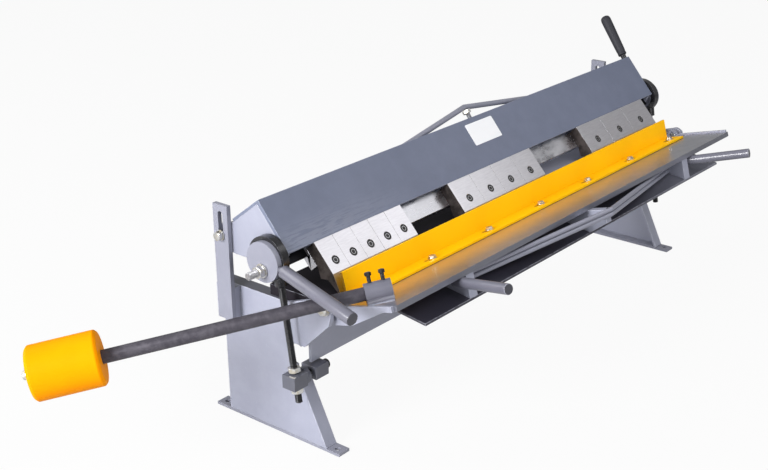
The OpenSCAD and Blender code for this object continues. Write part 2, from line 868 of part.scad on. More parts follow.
// a rod's end, where its middle meets the rear plate
function anchor(side) =
    let (spot = along(ridge, rear_slope, anchor_down))
    [side * anchor_x, spot.x, spot.y];

// how far a rod runs on into the plate, so that the plate's face cuts all of it
function truss_run() = 2 * truss_r * norm(anchor(1) - apex()) / post_long();

module truss_post()
    color(frame_grey)
        bar(post_foot(), post_way(), rod_height(post_r), post_r);

function post_foot() = apex() - post_way() * post_long();

// height of the rod's underside over the plate, this far from the apex
function rod_height(x) = post_long() - truss_r - x * post_long() / anchor_x - air;

module truss_nut()
    color(zinc)
        difference() {
            hex_bar(post_foot() + post_way() * (rod_height(post_r * nut_share) - truss_nut_t),
                post_way(), truss_nut_t, post_r * nut_share * 2);
            bar(post_foot(), post_way(), post_long(), post_r + run_fit);
        }

// guide bolts, washers and nuts

module guide_bolts()
    color(zinc)
        for (side = [-1, 1]) {
            round_x(side * (beam_in - guide_bolt_r * 2), side * washer_out(), guide_mid(),
                guide_bolt_z, guide_bolt_r);
            hex_x(side * washer_out(), side * (washer_out() + guide_bolt_r * head_share),
                guide_mid(), guide_bolt_z, guide_bolt_r * head_share * 2);
        }

function washer_out() = guide_out + air + guide_bolt_r * washer_thin_share * 2;

module guide_washers()
    color(zinc)
        for (side = [-1, 1])
            difference() {
                round_x(side * (guide_out + air), side * washer_out(), guide_mid(),
                    guide_bolt_z, guide_bolt_r * washer_share);
                round_x(side * guide_out, side * (washer_out() + air), guide_mid(),
                    guide_bolt_z, guide_bolt_r);
            }

module guide_nuts()
    color(zinc)
        for (side = [-1, 1])
            difference() {
                hex_x(side * (beam_in - guide_bolt_r * head_share), side * beam_in,
                    guide_mid(), guide_bolt_z, guide_bolt_r * head_share * 2);
                round_x(side * (beam_in - guide_bolt_r * 2), side * (beam_in + air),
                    guide_mid(), guide_bolt_z, guide_bolt_r);
            }

// cam studs, washers and nuts

module cam_studs()
    color(steel)
        for (side = [-1, 1])
            round_x(side * beam_in, side * stud_end, -pivot_y, pivot_z, stud_r);

function stud_washer_out() = disc_out + air + stud_r * washer_thin_share * 2;

module cam_washers()
    color(zinc)
        for (side = [-1, 1])
            difference() {
                round_x(side * (disc_out + air), side * stud_washer_out(), -pivot_y, pivot_z,
                    stud_r * washer_share);
                round_x(side * disc_out, side * (stud_washer_out() + air), -pivot_y, pivot_z,
                    stud_r);
            }

module cam_nuts()
    color(zinc)
        for (side = [-1, 1])
            difference() {
                hex_x(side * stud_washer_out(), side * (stud_washer_out() + stud_nut),
                    -pivot_y, pivot_z, stud_r * head_share * 2);
                round_x(side * disc_out, side * stud_end, -pivot_y, pivot_z, stud_r);
            }

// cams and their handles

function plain_way() = [-sin(handle_lean), -cos(handle_lean) * cos(plain_dip),
    -cos(handle_lean) * sin(plain_dip)];
function grip_way() = [sin(handle_lean), cos(handle_lean) * cos(grip_rise),
    cos(handle_lean) * sin(grip_rise)];
function cam_point(side) = [side * disc_mid, cam_centre.x, cam_centre.y];
function handle_start() = ring_r + ring_play + weld;

module cam_disc(side, way)
    difference() {
        union() {
            round_x(side * (ring_in - ring_gap + air), side * disc_in, cam_centre.x,
                cam_centre.y, cam_r);
            round_x(side * disc_in, side * disc_out, cam_centre.x, cam_centre.y, disc_r);
        }
        round_x(side * beam_out, side * (disc_out + air), -pivot_y, pivot_z,
            stud_r + run_fit);
        bar(cam_point(side) + flat(way) * (disc_r - spigot_depth), flat(way),
            2 * spigot_depth, spigot_r);
    }

// the same direction, but square to the stud
function flat(way) = unit([0, way.y, way.z]);

module cam_disc_left() color(frame_grey) cam_disc(-1, plain_way());
module cam_disc_right() color(frame_grey) cam_disc(1, grip_way());

module handle_bar(side, way, length, r) {
    start = cam_point(side) + flat(way) * handle_start();
    bar(start, way, length, r);
    bar(cam_point(side) + flat(way) * (disc_r - spigot_depth), flat(way),
        handle_start() - disc_r + spigot_depth + weld, spigot_r);
}

module cam_handle_left() color(frame_grey)
    handle_bar(-1, plain_way(), plain_length, plain_r);

module cam_handle_right() color(black)
    handle_bar(1, grip_way(), grip_start + grip_length * half_share - handle_start(),
        grip_rod_r);

module handle_grip()
    color(black) {
        base = cam_point(1) + flat(grip_way()) * handle_start();
        low = grip_start - handle_start();
        stop = low + grip_length * half_share;
        high = low + grip_length;
        spun(base, grip_way(), [[grip_rod_r, low], [grip_low_r, low],
            [grip_high_r, high - grip_low_r * half_share],
            [grip_high_r - grip_low_r * half_share, high], [0, high], [0, stop],
            [grip_rod_r, stop]]);
    }

// apron, in its own frame

module apron_plate()
    color(frame_grey)
        on_apron()
            difference() {
                block([-apron_in, -apron_depth, -apron_t], [apron_in, -apron_start, 0]);
                for (n = bolt_places())
                    translate([n, -bolt_f, -apron_t - air])
                        cylinder(h = apron_t + 2 * air, r = bolt_r);
            }

module apron_lower_plate()
    color(frame_grey)
        on_apron()
            plate([[-lower_start, -apron_t], [-lower_end, -lower_drop],
                [-lower_end, -lower_drop - lower_t],
                [-lower_start + lower_t, -apron_t - lower_t], [-lower_start + lower_t, -apron_t]],
                -lower_half, lower_half);

function lower_under(f) =
    -apron_t - (f - lower_start) * (lower_drop - apron_t) / (lower_end - lower_start);

module apron_gussets()
    color(frame_grey)
        on_apron()
            for (side = [-1, 1])
                plate([[-lower_start - apron_t, -apron_t],
                    [-lower_start - apron_t, lower_under(lower_start + apron_t)],
                    [-lower_end, -lower_drop], [-lower_end, -apron_t]],
                    side * (gusset_x - gusset_t / 2), side * (gusset_x + gusset_t / 2));

module apron_ends()
    color(frame_grey)
        on_apron()
            for (side = [-1, 1])
                difference() {
                    union() {
                        plate(apron_end_shape(side > 0 ? apron_end_rise : 0),
                            side * apron_in, side * apron_out);
                        round_x(side * apron_in, side * apron_out, 0, 0, ear_r - 2 * nose_gap);
                    }
                    round_x(side * (apron_in - air), side * (apron_out + air), 0, 0,
                        hinge_bolt_r + run_fit);
                }

function apron_end_shape(rise) = [
    [0, -apron_end_depth], [0, rise], [-apron_end_length, rise], [-apron_end_length, -apron_t],
    [-apron_end_tip, -apron_t], [-apron_end_knee, -apron_end_depth]];

module apron_strut()
    color(frame_grey)
        on_apron()
            plate([[-lower_start - apron_t, -apron_t],
                [-lower_start - apron_t, lower_under(lower_start + apron_t)],
                [-lower_end, -lower_drop], [-strut_reach, -strut_height],
                [-strut_reach, -apron_t], [-apron_depth, -apron_t]],
                -strut_t / 2, strut_t / 2);

module apron_truss_rods()
    color(frame_grey)
        on_apron()
            for (up = tie_steps())
                difference() {
                    for (side = [-1, 1])
                        half_rod(side, [0, -tie_reach, up - tie_drop],
                            [side * tie_x, -tie_start, up - tie_end_drop], tie_r, tie_r);
                    for (side = [-1, 1])
                        block([min(side * tie_x, side * apron_in), -apron_depth, -lower_drop],
                            [max(side * tie_x, side * apron_in), 0, 0]);
                }

// how far each truss rod lies above the pair's middle
function tie_steps() = [-tie_pitch / 2, tie_pitch / 2];

// how far each half of a truss rod turns back from the bending edge's direction
function tie_lean() = atan((tie_reach - tie_start) / tie_x);

// screws that push the truss rods away from the strut
module strut_screws()
    color(black)
        on_apron()
            for (up = tie_steps())
                bar([0, -strut_reach, up - tie_drop], [0, -1, 0], tie_reach - strut_reach
                    - tie_r / cos(tie_lean()) - bolt_r * tan(tie_lean()) - air, bolt_r);

module pull_bar(side)
    let (drop = apron_t + pull_r,
        foot = [side * (gusset_x + gusset_t / 2 + pull_r), -pull_root, -drop],
        tip = [side * pull_tip_x, -pull_reach, -drop])
        bar(foot, tip - foot, norm(tip - foot), pull_r);

module pull_handle_left() color(frame_grey) on_apron() pull_bar(-1);
module pull_handle_right() color(frame_grey) on_apron() pull_bar(1);

// yellow angle bar and its bolts

function bolt_places() = [for (n = [0 : bolt_count - 1]) (n - (bolt_count - 1) / 2) * bolt_pitch];

module bending_angle()
    color(yellow)
        on_apron()
            difference() {
                plate([[0, 0], [0, angle_leg], [-angle_t, angle_leg], [-angle_t, angle_t],
                    [-angle_leg, angle_t], [-angle_leg, 0]], -angle_half, angle_half);
                for (n = bolt_places())
                    translate([n, -bolt_f, -air])
                        cylinder(h = angle_t + 2 * air, r = bolt_r);
            }

module angle_bolts()
    color(zinc)
        on_apron()
            for (n = bolt_places())
                translate([n, -bolt_f, -apron_t]) {
                    cylinder(h = apron_t + angle_t + bolt_washer_t, r = bolt_r);
                    translate([0, 0, apron_t + angle_t + bolt_washer_t])
                        cylinder(h = bolt_head, r = bolt_head_r, $fn = 6);
                }

module angle_washers()
    color(zinc)
        on_apron()
            for (n = bolt_places())
                translate([n, -bolt_f, angle_t])
                    difference() {
                        cylinder(h = bolt_washer_t, r = bolt_washer_r);
                        translate([0, 0, -air])
                            cylinder(h = bolt_washer_t + 2 * air, r = bolt_r + run_fit);
                    }

// sleeve, lever bar and counterweight

function lever_base() = [-sleeve_x, -sleeve_f, sleeve_height];

module lever_sleeve()
    color(frame_grey)
        on_apron()
            difference() {
                union() {
                    bar(lever_base() - lever_way * sleeve_length, lever_way, sleeve_length,
                        sleeve_r);
                    translate([-sleeve_x, -sleeve_f, 0])
                        rotate([0, 0, -lever_turn])
                            translate([0, -sleeve_foot / 2, 0])
                                cube([sleeve_length, sleeve_foot, sleeve_height]);
                }
                bar(lever_base() - lever_way * (sleeve_length + air), lever_way,
                    sleeve_length + 2 * air, lever_r + run_fit);
                for (place = sleeve_bolt_places())
                    translate(place)
                        cylinder(h = 2 * sleeve_r, r = bolt_r);
            }

function sleeve_bolt_places() = [for (share = [0.25, 0.75])
    lever_base() - lever_way * sleeve_length * share];

module sleeve_bolts()
    color(black)
        on_apron()
            for (place = sleeve_bolt_places())
                translate(place) {
                    translate([0, 0, lever_r + air])
                        cylinder(h = sleeve_r, r = bolt_r);
                    translate([0, 0, lever_r + sleeve_r])
                        cylinder(h = bolt_r * head_share, r = bolt_r * head_share, $fn = 6);
                }

module lever_bar()
    color(black)
        on_apron()
            bar(lever_base() - lever_way * sleeve_length, lever_way, lever_length, lever_r);

function weight_base() = lever_base() + lever_way * (lever_length - sleeve_length
    - weight_length);

module counterweight()
    color(yellow)
        on_apron()
            spun(weight_base(), lever_way, [[lever_r, 0], [weight_r - weight_rim, 0],
                [weight_r, weight_rim], [weight_r, weight_length - weight_rim],
                [weight_r - weight_rim, weight_length], [lever_r, weight_length]]);

module weight_screw()
    color(zinc)
        on_apron()
            bar(weight_base() + lever_way * weight_length, lever_way, end_screw, end_screw_r);

stand_left();
stand_right();
feet();
hinge_plates();
hinge_bolts();
bed_plate();
bed_web();
guide_spacers();
guide_bar_left();
guide_bar_right();
link_brackets();
pivot_screws();
pivot_block_left();
pivot_block_right();
link_rod_left();
link_rod_right();
link_nuts_left();
link_nuts_right();
strap_ring_left();
strap_ring_right();
beam_front_plate();
beam_rear_plate();
beam_end_left();
beam_end_right();
clamp_rail();
fingers_narrow();
fingers_medium();
fingers_wide();
finger_screws();
beam_truss_rod();
truss_post();
truss_nut();
guide_bolts();
guide_washers();
guide_nuts();
cam_studs();
cam_washers();
cam_nuts();
cam_disc_left();
cam_disc_right();
cam_handle_left();
cam_handle_right();
handle_grip();
apron_plate();
apron_lower_plate();
apron_gussets();
apron_ends();
apron_strut();
strut_screws();
apron_truss_rods();
pull_handle_left();
pull_handle_right();
bending_angle();
angle_bolts();
angle_washers();
lever_sleeve();
sleeve_bolts();
lever_bar();
counterweight();
weight_screw();
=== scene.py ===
import json
import math

import bmesh
import bpy
from mathutils import Matrix, Vector


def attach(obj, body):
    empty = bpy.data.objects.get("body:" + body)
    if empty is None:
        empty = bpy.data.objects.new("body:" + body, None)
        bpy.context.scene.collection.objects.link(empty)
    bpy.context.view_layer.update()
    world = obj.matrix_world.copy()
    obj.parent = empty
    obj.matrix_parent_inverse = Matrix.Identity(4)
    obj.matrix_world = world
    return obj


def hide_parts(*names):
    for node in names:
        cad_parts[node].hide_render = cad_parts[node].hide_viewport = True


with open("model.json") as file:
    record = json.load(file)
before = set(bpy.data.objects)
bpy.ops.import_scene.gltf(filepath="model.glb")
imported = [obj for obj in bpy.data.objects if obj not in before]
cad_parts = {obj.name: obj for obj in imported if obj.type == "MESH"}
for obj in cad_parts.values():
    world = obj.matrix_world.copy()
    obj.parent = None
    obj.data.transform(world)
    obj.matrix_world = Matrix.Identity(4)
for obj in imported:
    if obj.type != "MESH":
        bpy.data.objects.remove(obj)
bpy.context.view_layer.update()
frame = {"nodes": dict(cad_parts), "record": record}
cadNodes = frame["nodes"]
cadBodies = frame["record"]["behaviour"]["bodies"]
cadJoints = {joint["name"]: joint for joint in frame["record"]["behaviour"]["joints"]}
print("frame loaded")


def newObject(name, data):
    thing = bpy.data.objects.new(name, data)
    bpy.context.scene.collection.objects.link(thing)
    return thing


# camera

cameraView = {
    "azimuth": -50.13,          # degrees, from the front toward the right
    "elevation": 21.88,         # degrees above the level
    "roll": -0.62,              # degrees; below zero the camera's right side dips
    "lens": 61.04,              # millimetres, for the sensor width below
    "sensor": 36,
    "place": (-2.2438, -1.6068, 1.3137),
    "sees": 60,                 # metres
}


def aimCamera(view):
    azimuth, elevation, roll = (math.radians(view[key]) for key in ("azimuth", "elevation", "roll"))
    back = Vector((math.sin(azimuth) * math.cos(elevation),
                   -math.cos(azimuth) * math.cos(elevation), math.sin(elevation)))
    level = (-back).cross(Vector((0, 0, 1))).normalized()
    upright = level.cross(-back)
    right = level * math.cos(roll) + upright * math.sin(roll)
    up = upright * math.cos(roll) - level * math.sin(roll)
    optics = bpy.data.cameras.new("brakeCamera")
    optics.sensor_width = view["sensor"]
    optics.lens = view["lens"]
    optics.clip_end = view["sees"]
    camera = newObject("brakeCamera", optics)
    turn = Matrix((right, up, back)).transposed().to_4x4()
    camera.matrix_world = Matrix.Translation(view["place"]) @ turn
    bpy.context.scene.camera = camera


aimCamera(cameraView)


# shader and geometry maths

class Flow:
    # one socket of a node tree, with plain arithmetic
    def __init__(self, tree, socket):
        self.tree = tree
        self.socket = socket

    def combine(self, operation, first, second=0.0):
        node = self.tree.nodes.new("ShaderNodeMath")
        node.operation = operation
        for slot, value in enumerate((first, second)):
            if isinstance(value, Flow):
                self.tree.links.new(value.socket, node.inputs[slot])
            else:
                node.inputs[slot].default_value = value
        return Flow(self.tree, node.outputs[0])

    def __add__(self, other):
        return self.combine("ADD", self, other)

    def __radd__(self, other):
        return self.combine("ADD", other, self)

    def __sub__(self, other):
        return self.combine("SUBTRACT", self, other)

    def __rsub__(self, other):
        return self.combine("SUBTRACT", other, self)

    def __mul__(self, other):
        return self.combine("MULTIPLY", self, other)

    def __rmul__(self, other):
        return self.combine("MULTIPLY", other, self)

    def __truediv__(self, other):
        return self.combine("DIVIDE", self, other)

    def __rtruediv__(self, other):
        return self.combine("DIVIDE", other, self)

    def __mod__(self, other):
        return self.combine("FLOORED_MODULO", self, other)

    def __lt__(self, other):
        return self.combine("LESS_THAN", self, other)

    def __gt__(self, other):
        return self.combine("GREATER_THAN", self, other)

    def __abs__(self):
        return self.combine("ABSOLUTE", self)

    def least(self, other):
        return self.combine("MINIMUM", self, other)

    def cosine(self):
        return self.combine("COSINE", self)

    def angleTo(self, other):
        return self.combine("ARCTAN2", self, other)


class TreeMaker:
    # what shader trees and geometry trees are built with
    def node(self, kind, settings=None, **inputs):
        # a socket is named, with _ for a space, or numbered, as in i2
        node = self.tree.nodes.new(kind)
        for key, value in (settings or {}).items():
            setattr(node, key, value)
        for key, value in inputs.items():
            numbered = key[1:].isdigit()
            target = node.inputs[int(key[1:])] if numbered else node.inputs[key.replace("_", " ")]
            self.feed(target, value)
        return node

    def feed(self, target, value):
        if isinstance(value, Flow):
            self.tree.links.new(value.socket, target)
        elif isinstance(value, bpy.types.NodeSocket):
            self.tree.links.new(value, target)
        else:
            target.default_value = value

    def flow(self, node, output=0):
        return Flow(self.tree, node.outputs[output])

    def parts(self, vector):
        split = self.node("ShaderNodeSeparateXYZ", Vector=vector)
        return [self.flow(split, number) for number in range(3)]


class Finish(TreeMaker):
    # a material under construction: its shader's fixed numbers, then its varying inputs
    def __init__(self, name, **fixed):
        self.material = bpy.data.materials.new(name)
        self.material.use_nodes = True
        self.tree = self.material.node_tree
        self.shader = self.tree.nodes["Principled BSDF"]
        for key, value in fixed.items():
            self.shader.inputs[key.replace("_", " ")].default_value = value
        self.place = self.node("ShaderNodeTexCoord").outputs["Object"]      # metres, as in the frame

    def noise(self, scale, detail=2, roughness=0.5, stretch=(1, 1, 1)):
        spread = self.node("ShaderNodeMapping", Vector=self.place, Scale=stretch)
        node = self.node("ShaderNodeTexNoise", Vector=spread.outputs[0], Scale=scale, Detail=detail,
                         Roughness=roughness)
        return self.flow(node, "Fac")

    def between(self, value, low, high):
        # 0 under low, 1 over high, smooth in the middle
        return self.flow(self.node("ShaderNodeMapRange", {"interpolation_type": "SMOOTHSTEP"},
                                   Value=value, From_Min=low, From_Max=high))

    def patches(self, look, name):
        # soft patches: the look holds a noise by this name, and where it turns over
        return self.between(self.noise(*look[name]), *look[name + "Edge"])

    def facing(self):
        # the parts of the direction that the surface looks in
        return self.parts(self.node("ShaderNodeTexCoord").outputs["Normal"])

    def mix(self, share, first, second):
        node = self.node("ShaderNodeMix", {"data_type": "RGBA"})
        self.feed(node.inputs["Factor"], share)
        for socket, value in zip([s for s in node.inputs if s.type == "RGBA"], (first, second)):
            self.feed(socket, (*value, 1) if isinstance(value, tuple) else value)
        return [s for s in node.outputs if s.type == "RGBA"][0]

    def edges(self):
        # 1 on the rounded edges of a softened piece, 0 on its flats
        return self.flow(self.node("ShaderNodeAttribute", {"attribute_name": "edge"}), "Fac")

    def done(self, color, roughness, height, strength, depth):
        # color and roughness vary over the surface; height is bumped at a strength, depth in metres
        bump = self.node("ShaderNodeBump", Height=height, Strength=strength, Distance=depth)
        self.feed(self.shader.inputs["Base Color"], color)
        self.feed(self.shader.inputs["Roughness"], roughness)
        self.feed(self.shader.inputs["Normal"], bump.outputs["Normal"])
        return self.material


class Growth(TreeMaker):
    # a geometry tree under construction: named sizes in, one finished mesh out
    def __init__(self, name, sizes):
        self.tree = bpy.data.node_groups.new(name, "GeometryNodeTree")
        sockets = self.tree.interface
        sockets.new_socket("Geometry", in_out="INPUT", socket_type="NodeSocketGeometry")
        for size, value in sizes.items():
            kind = "NodeSocketInt" if isinstance(value, int) else "NodeSocketFloat"
            sockets.new_socket(size, in_out="INPUT", socket_type=kind).default_value = value
        sockets.new_socket("Finish", in_out="INPUT", socket_type="NodeSocketMaterial")
        sockets.new_socket("Geometry", in_out="OUTPUT", socket_type="NodeSocketGeometry")
        self.entry = self.node("NodeGroupInput")

    def size(self, name):
        return self.flow(self.entry, name)

    def position(self):
        return self.parts(self.node("GeometryNodeInputPosition").outputs[0])

    def drum(self, around, rings):
        # a closed cylinder of radius 1 and height 1, centred on the origin
        return self.node("GeometryNodeMeshCylinder", {"fill_type": "NGON"}, Vertices=around,
                         Side_Segments=rings, Radius=1.0, Depth=1.0).outputs[0]

    def shaped(self, drum, x, y, radius, height):
        place = self.node("ShaderNodeCombineXYZ", X=x * radius, Y=y * radius, Z=height)
        return self.node("GeometryNodeSetPosition", Geometry=drum, Position=place.outputs[0]).outputs[0]

    def turned(self, around, rings, length, radiusAt):
        # a closed body around Z, up from the origin: radiusAt(angle, height) shapes it
        x, y, z = self.position()
        height = (z + 0.5) * length
        return self.shaped(self.drum(around, rings), x, y, radiusAt(y.angleTo(x), height), height)

    def lowered(self, shape, depth):
        down = self.node("ShaderNodeCombineXYZ", Z=depth * -1)
        return self.node("GeometryNodeTransform", Geometry=shape, Translation=down.outputs[0]).outputs[0]

    def joined(self, shapes):
        join = self.node("GeometryNodeJoinGeometry")
        for shape in shapes:
            self.tree.links.new(shape, join.inputs[0])
        return join.outputs[0]

    def chance(self, low, high):
        # a random number for each point, from the tree's fixed seed
        node = self.node("FunctionNodeRandomValue", {"data_type": "FLOAT"}, i2=low, i3=high,
                         Seed=self.size("Seed"))
        return self.flow(node, 1)

    def placed(self, shape, spin):
        # a copy of the shape on each point, its Z along the point's "way", turned a little by chance
        way = self.node("GeometryNodeInputNamedAttribute", {"data_type": "FLOAT_VECTOR"}, Name="way")
        aim = self.node("FunctionNodeAlignRotationToVector", {"axis": "Z"}, Vector=way.outputs[0])
        turn = self.node("FunctionNodeAxisAngleToRotation", Axis=(0, 0, 1), Angle=self.chance(-spin, spin))
        both = self.node("FunctionNodeRotateRotation", {"rotation_space": "LOCAL"},
                         Rotation=aim.outputs[0], Rotate_By=turn.outputs[0])
        return self.node("GeometryNodeInstanceOnPoints", Points=self.entry.outputs["Geometry"],
                         Instance=shape, Rotation=both.outputs[0]).outputs[0]

    def close(self, geometry):
        whole = self.node("GeometryNodeRealizeInstances", Geometry=geometry)
        painted = self.node("GeometryNodeSetMaterial", Geometry=whole.outputs[0],
                            Material=self.entry.outputs["Finish"])
        self.node("NodeGroupOutput", Geometry=painted.outputs[0])
        return self.tree


# the apron's own directions, as the picture shows it

apronTilt = math.radians(15)            # how far the apron stands above the level
bendLine = Vector(cadJoints["apron_swing"]["pos_m"])
apronUp = Vector((0, math.sin(apronTilt), math.cos(apronTilt)))
apronForward = Vector((0, -math.cos(apronTilt), math.sin(apronTilt)))


def apronPlace(finish):
    # distance forward of the bend line, and height over the apron's top
    x, y, z = finish.parts(finish.place)
    y = y - bendLine.y
    z = z - bendLine.z
    return y * apronForward.y + z * apronForward.z, y * apronUp.y + z * apronUp.z


def scaled(tone, share):
    return tuple(min(1, part * share) for part in tone)


# finishes: a noise is given by its scale, detail, roughness and stretch, a bump by its strength and
# depth, and an Edge is where a noise turns from one tone to the other

paintLook = {
    "drift": (2.2, 3), "driftShare": 0.6,
    "mottle": (24, 4, 0.6), "cloudEdge": (0.36, 0.66), "cloudRough": 0.06,
    "dust": (160,), "dustEdge": (0.66, 0.74), "dustShare": 0.25, "dustPaler": 1.4, "dustRough": 0.12,
    "wear": (55, 3, 0.7), "wearEdge": (0.34, 0.6), "wearShare": 0.6, "wearRough": 0.1,
    # noise that makes the border of the painted shade on the left wander, and how far
    "spill": (30, 3), "shadeWanderShare": 0.05,
    "peel": (420,), "peelDepth": 0.0006,
    "squarely": (0.8, 0.9),             # how straight a face looks one way to take a painted shade
    "front": (1, -1), "top": (2, 1),    # part of the facing direction, and its sign
}


def scuffed(finish, base, marks):
    # long pale streaks, stronger low down and to the left
    x, y, z = finish.parts(finish.place)
    mask = finish.patches(marks, "streak") * finish.between(z * -1, *marks["lower"])
    mask = mask * finish.between(x * -1, *marks["left"])
    return finish.mix(mask * marks["share"], base, marks["tone"])


def paintedYellowReflection(finish, base, marks):
    # painted reflection of the yellow bar: a warm tone that fades forward of the bar and to the right
    forward, level = apronPlace(finish)
    near = 1 - finish.between(forward, *marks["forward"])
    toLeft = 1 - finish.between(finish.parts(finish.place)[0], *marks["right"])
    return finish.mix(near * toLeft * marks["share"], base, marks["tone"])


def shadedLeft(finish, base, marks):
    # painted shade: dark on the left, with an uneven border
    wander = (finish.noise(*paintLook["spill"]) - 0.5) * paintLook["shadeWanderShare"]
    side = finish.parts(finish.place)[0] + wander
    return finish.mix(finish.between(side, *marks["border"]), marks["tone"], base)


def enamel(name, tones, shine=0.32, peel=0.25, grime=0.5, coat=0.25, coatRough=0.12,
           marks=None, markedBy=None, toned=None, **fixed):
    # sprayed paint: slow tone drift, orange peel, a little dust, edges rubbed paler that also serve as a
    # painted highlight, and faces that look one way given a painted shade
    look = paintLook
    tone, darker, rub = tones
    finish = Finish(name, IOR=1.5, Coat_Weight=coat, Coat_Roughness=coatRough, **fixed)
    drift = finish.noise(*look["drift"]) * look["driftShare"]
    mottle = finish.noise(*look["mottle"]) * (1 - look["driftShare"])
    cloud = finish.between(drift + mottle, *look["cloudEdge"])
    base = finish.mix(cloud, darker, tone)
    dust = finish.patches(look, "dust") * grime
    base = finish.mix(dust * look["dustShare"], base, scaled(tone, look["dustPaler"]))
    if markedBy:
        base = markedBy(finish, base, marks)
    # painted shade: faces that look one way take a darker tone
    if toned:
        side, share = toned
        part, sign = look[side]
        squarely = finish.between(finish.facing()[part] * sign, *look["squarely"])
        base = finish.mix(squarely, base, scaled(tone, share))
    # paler rubbed edges: partly real wear, partly a painted highlight
    rubbedAndLitEdges = finish.edges() * finish.patches(look, "wear")
    rough = (0.5 - cloud) * look["cloudRough"] + shine + dust * look["dustRough"] + rubbedAndLitEdges * look["wearRough"]
    return finish.done(finish.mix(rubbedAndLitEdges * look["wearShare"], base, rub), rough,
                       finish.noise(*look["peel"]), peel, look["peelDepth"])


yellowLook = {
    "cloud": (6, 4, 0.6), "cloudEdge": (0.35, 0.65), "cloudRough": 0.08, "shine": 0.42,
    "chips": (210, 3, 0.6), "chipsEdge": (0.7, 0.76), "chipsShare": 0.5, "chipsTone": (0.55, 0.25, 0.02),
    # the grime noise breaks up the painted brown shadow beside each bolt; that shadow's tone, share and
    # roughness follow
    "grime": (260, 3, 0.7), "grimeEdge": (0.36, 0.5), "boltShadowShare": 0.9, "boltShadowTone": (0.2, 0.085, 0.01),
    "boltShadowRough": 0.2, "footShadowTone": (0.09, 0.04, 0.01),
    "peel": (420,), "bump": (0.15, 0.0005), "squarely": (0.8, 0.9),
}
angleBar = {
    # metres, forward of the bend line and over the apron's top
    "left": -0.62,              # where the bar begins
    "within": 0.012,            # how close to the apron's top the marks stay
    "edge": (0.0492, 0.0498),   # where the painted shadow line at the front edge's foot begins and is full
    "line": 0.0009,             # height of that painted shadow line
    "pitch": 0.192,             # spacing of the bolts
    "row": 0.0295,              # distance of the bolts from the bend line
    "shift": 0.014,             # how far left of a bolt the painted shadow is centred
    "reach": (0.004, 0.02),     # where the painted shadow starts to thin, and where it ends
    "squash": 1.6,              # how much narrower it is across the bar
}


def yellowPaint(name, tone, darker, specular, ends=None):
    # flat yellow with a painted shadow line at the foot of its front edge and a painted brown shadow to the
    # left of each bolt
    look = yellowLook
    finish = Finish(name, IOR=1.45, Specular_IOR_Level=specular)
    cloud = finish.patches(look, "cloud")
    base = finish.mix(cloud, darker, tone)
    base = finish.mix(finish.patches(look, "chips") * look["chipsShare"], base, look["chipsTone"])
    x = finish.parts(finish.place)[0]
    forward, level = apronPlace(finish)
    onBar = (x > angleBar["left"]) * (abs(level) < angleBar["within"]) * (forward > 0)
    # painted shadow: a thin dark line where the front edge meets the apron plate
    cut = finish.between(forward, *angleBar["edge"]) * onBar * (level < angleBar["line"])
    half = angleBar["pitch"] / 2
    along = (x + (angleBar["shift"] + half)) % angleBar["pitch"] - half
    across = abs(forward - angleBar["row"]) * angleBar["squash"]
    near = 1 - finish.between(abs(along) + across, *angleBar["reach"])
    # painted shadow: a brown patch to the left of each bolt, broken up by noise
    boltShadow = near * finish.patches(look, "grime") * onBar
    base = finish.mix(boltShadow * look["boltShadowShare"], base, look["boltShadowTone"])
    if ends:
        base = finish.mix(finish.between(abs(finish.facing()[0]), *look["squarely"]), base, ends)
    rough = cloud * look["cloudRough"] + look["shine"] + boltShadow * look["boltShadowRough"]
    return finish.done(finish.mix(cut, base, look["footShadowTone"]), rough, finish.noise(*look["peel"]),
                       *look["bump"])


groundLook = {
    "lines": (60, 3, 0.7), "linesEdge": (0.3, 0.7), "linesRough": 0.12, "bump": (0.12, 0.0003),
    "stain": (9, 4), "stainEdge": (0.62, 0.78), "stainShare": 0.3, "stainRough": 0.08,
    "patch": (38, 4, 0.7), "patchEdge": (0.35, 0.65), "patchPaler": 2.2,
    "sideFrom": 0.7, "sideRough": 0.2, "rubTone": (0.85, 0.85, 0.86),
}


def groundSteel(name, tone, darker, stretch, shine, stain=(0.33, 0.3, 0.27), sides=None, rub=0.35):
    # a ground face: fine lines one way, slow staining, and darker unground ends
    look = groundLook
    finish = Finish(name, Metallic=1.0)
    lines = finish.noise(*look["lines"], stretch=stretch)
    slow = finish.noise(*look["stain"])
    base = finish.mix(finish.between(lines, *look["linesEdge"]), darker, tone)
    base = finish.mix(finish.between(slow, *look["stainEdge"]) * look["stainShare"], base, stain)
    rough = lines * look["linesRough"] + shine + slow * look["stainRough"]
    if sides:
        endFace = abs(finish.facing()[0]) > look["sideFrom"]
        unground = finish.mix(finish.patches(look, "patch"), sides, scaled(sides, look["patchPaler"]))
        base = finish.mix(endFace, base, unground)
        rough = rough + endFace * look["sideRough"]
    return finish.done(finish.mix(finish.edges() * rub, base, look["rubTone"]), rough, lines,
                       *look["bump"])


railLook = {
    "cloud": (26, 4, 0.6, (0.7, 1.4, 1.4)), "cloudEdge": (0.38, 0.66),
    "dull": (0.44, 0.44, 0.47), "bright": (0.66, 0.66, 0.7), "black": (0.012, 0.012, 0.014),
    "ends": (0.614, 0.616),     # past the outer fingers the rail is painted black as painted shade
    "shine": 0.24, "cloudRough": 0.18, "endRough": 0.15, "bump": (0.12, 0.0004),
}


def galvanised(name, look):
    # a bright rail with soft cloudy patches, painted black past the outer fingers as painted shade
    finish = Finish(name, Metallic=1.0)
    cloud = finish.noise(*look["cloud"])
    veil = finish.between(cloud, *look["cloudEdge"])
    ends = finish.between(abs(finish.parts(finish.place)[0]), *look["ends"])
    color = finish.mix(ends, finish.mix(veil, look["dull"], look["bright"]), look["black"])
    rough = veil * look["cloudRough"] + look["shine"] + ends * look["endRough"]
    return finish.done(color, rough, cloud, *look["bump"])


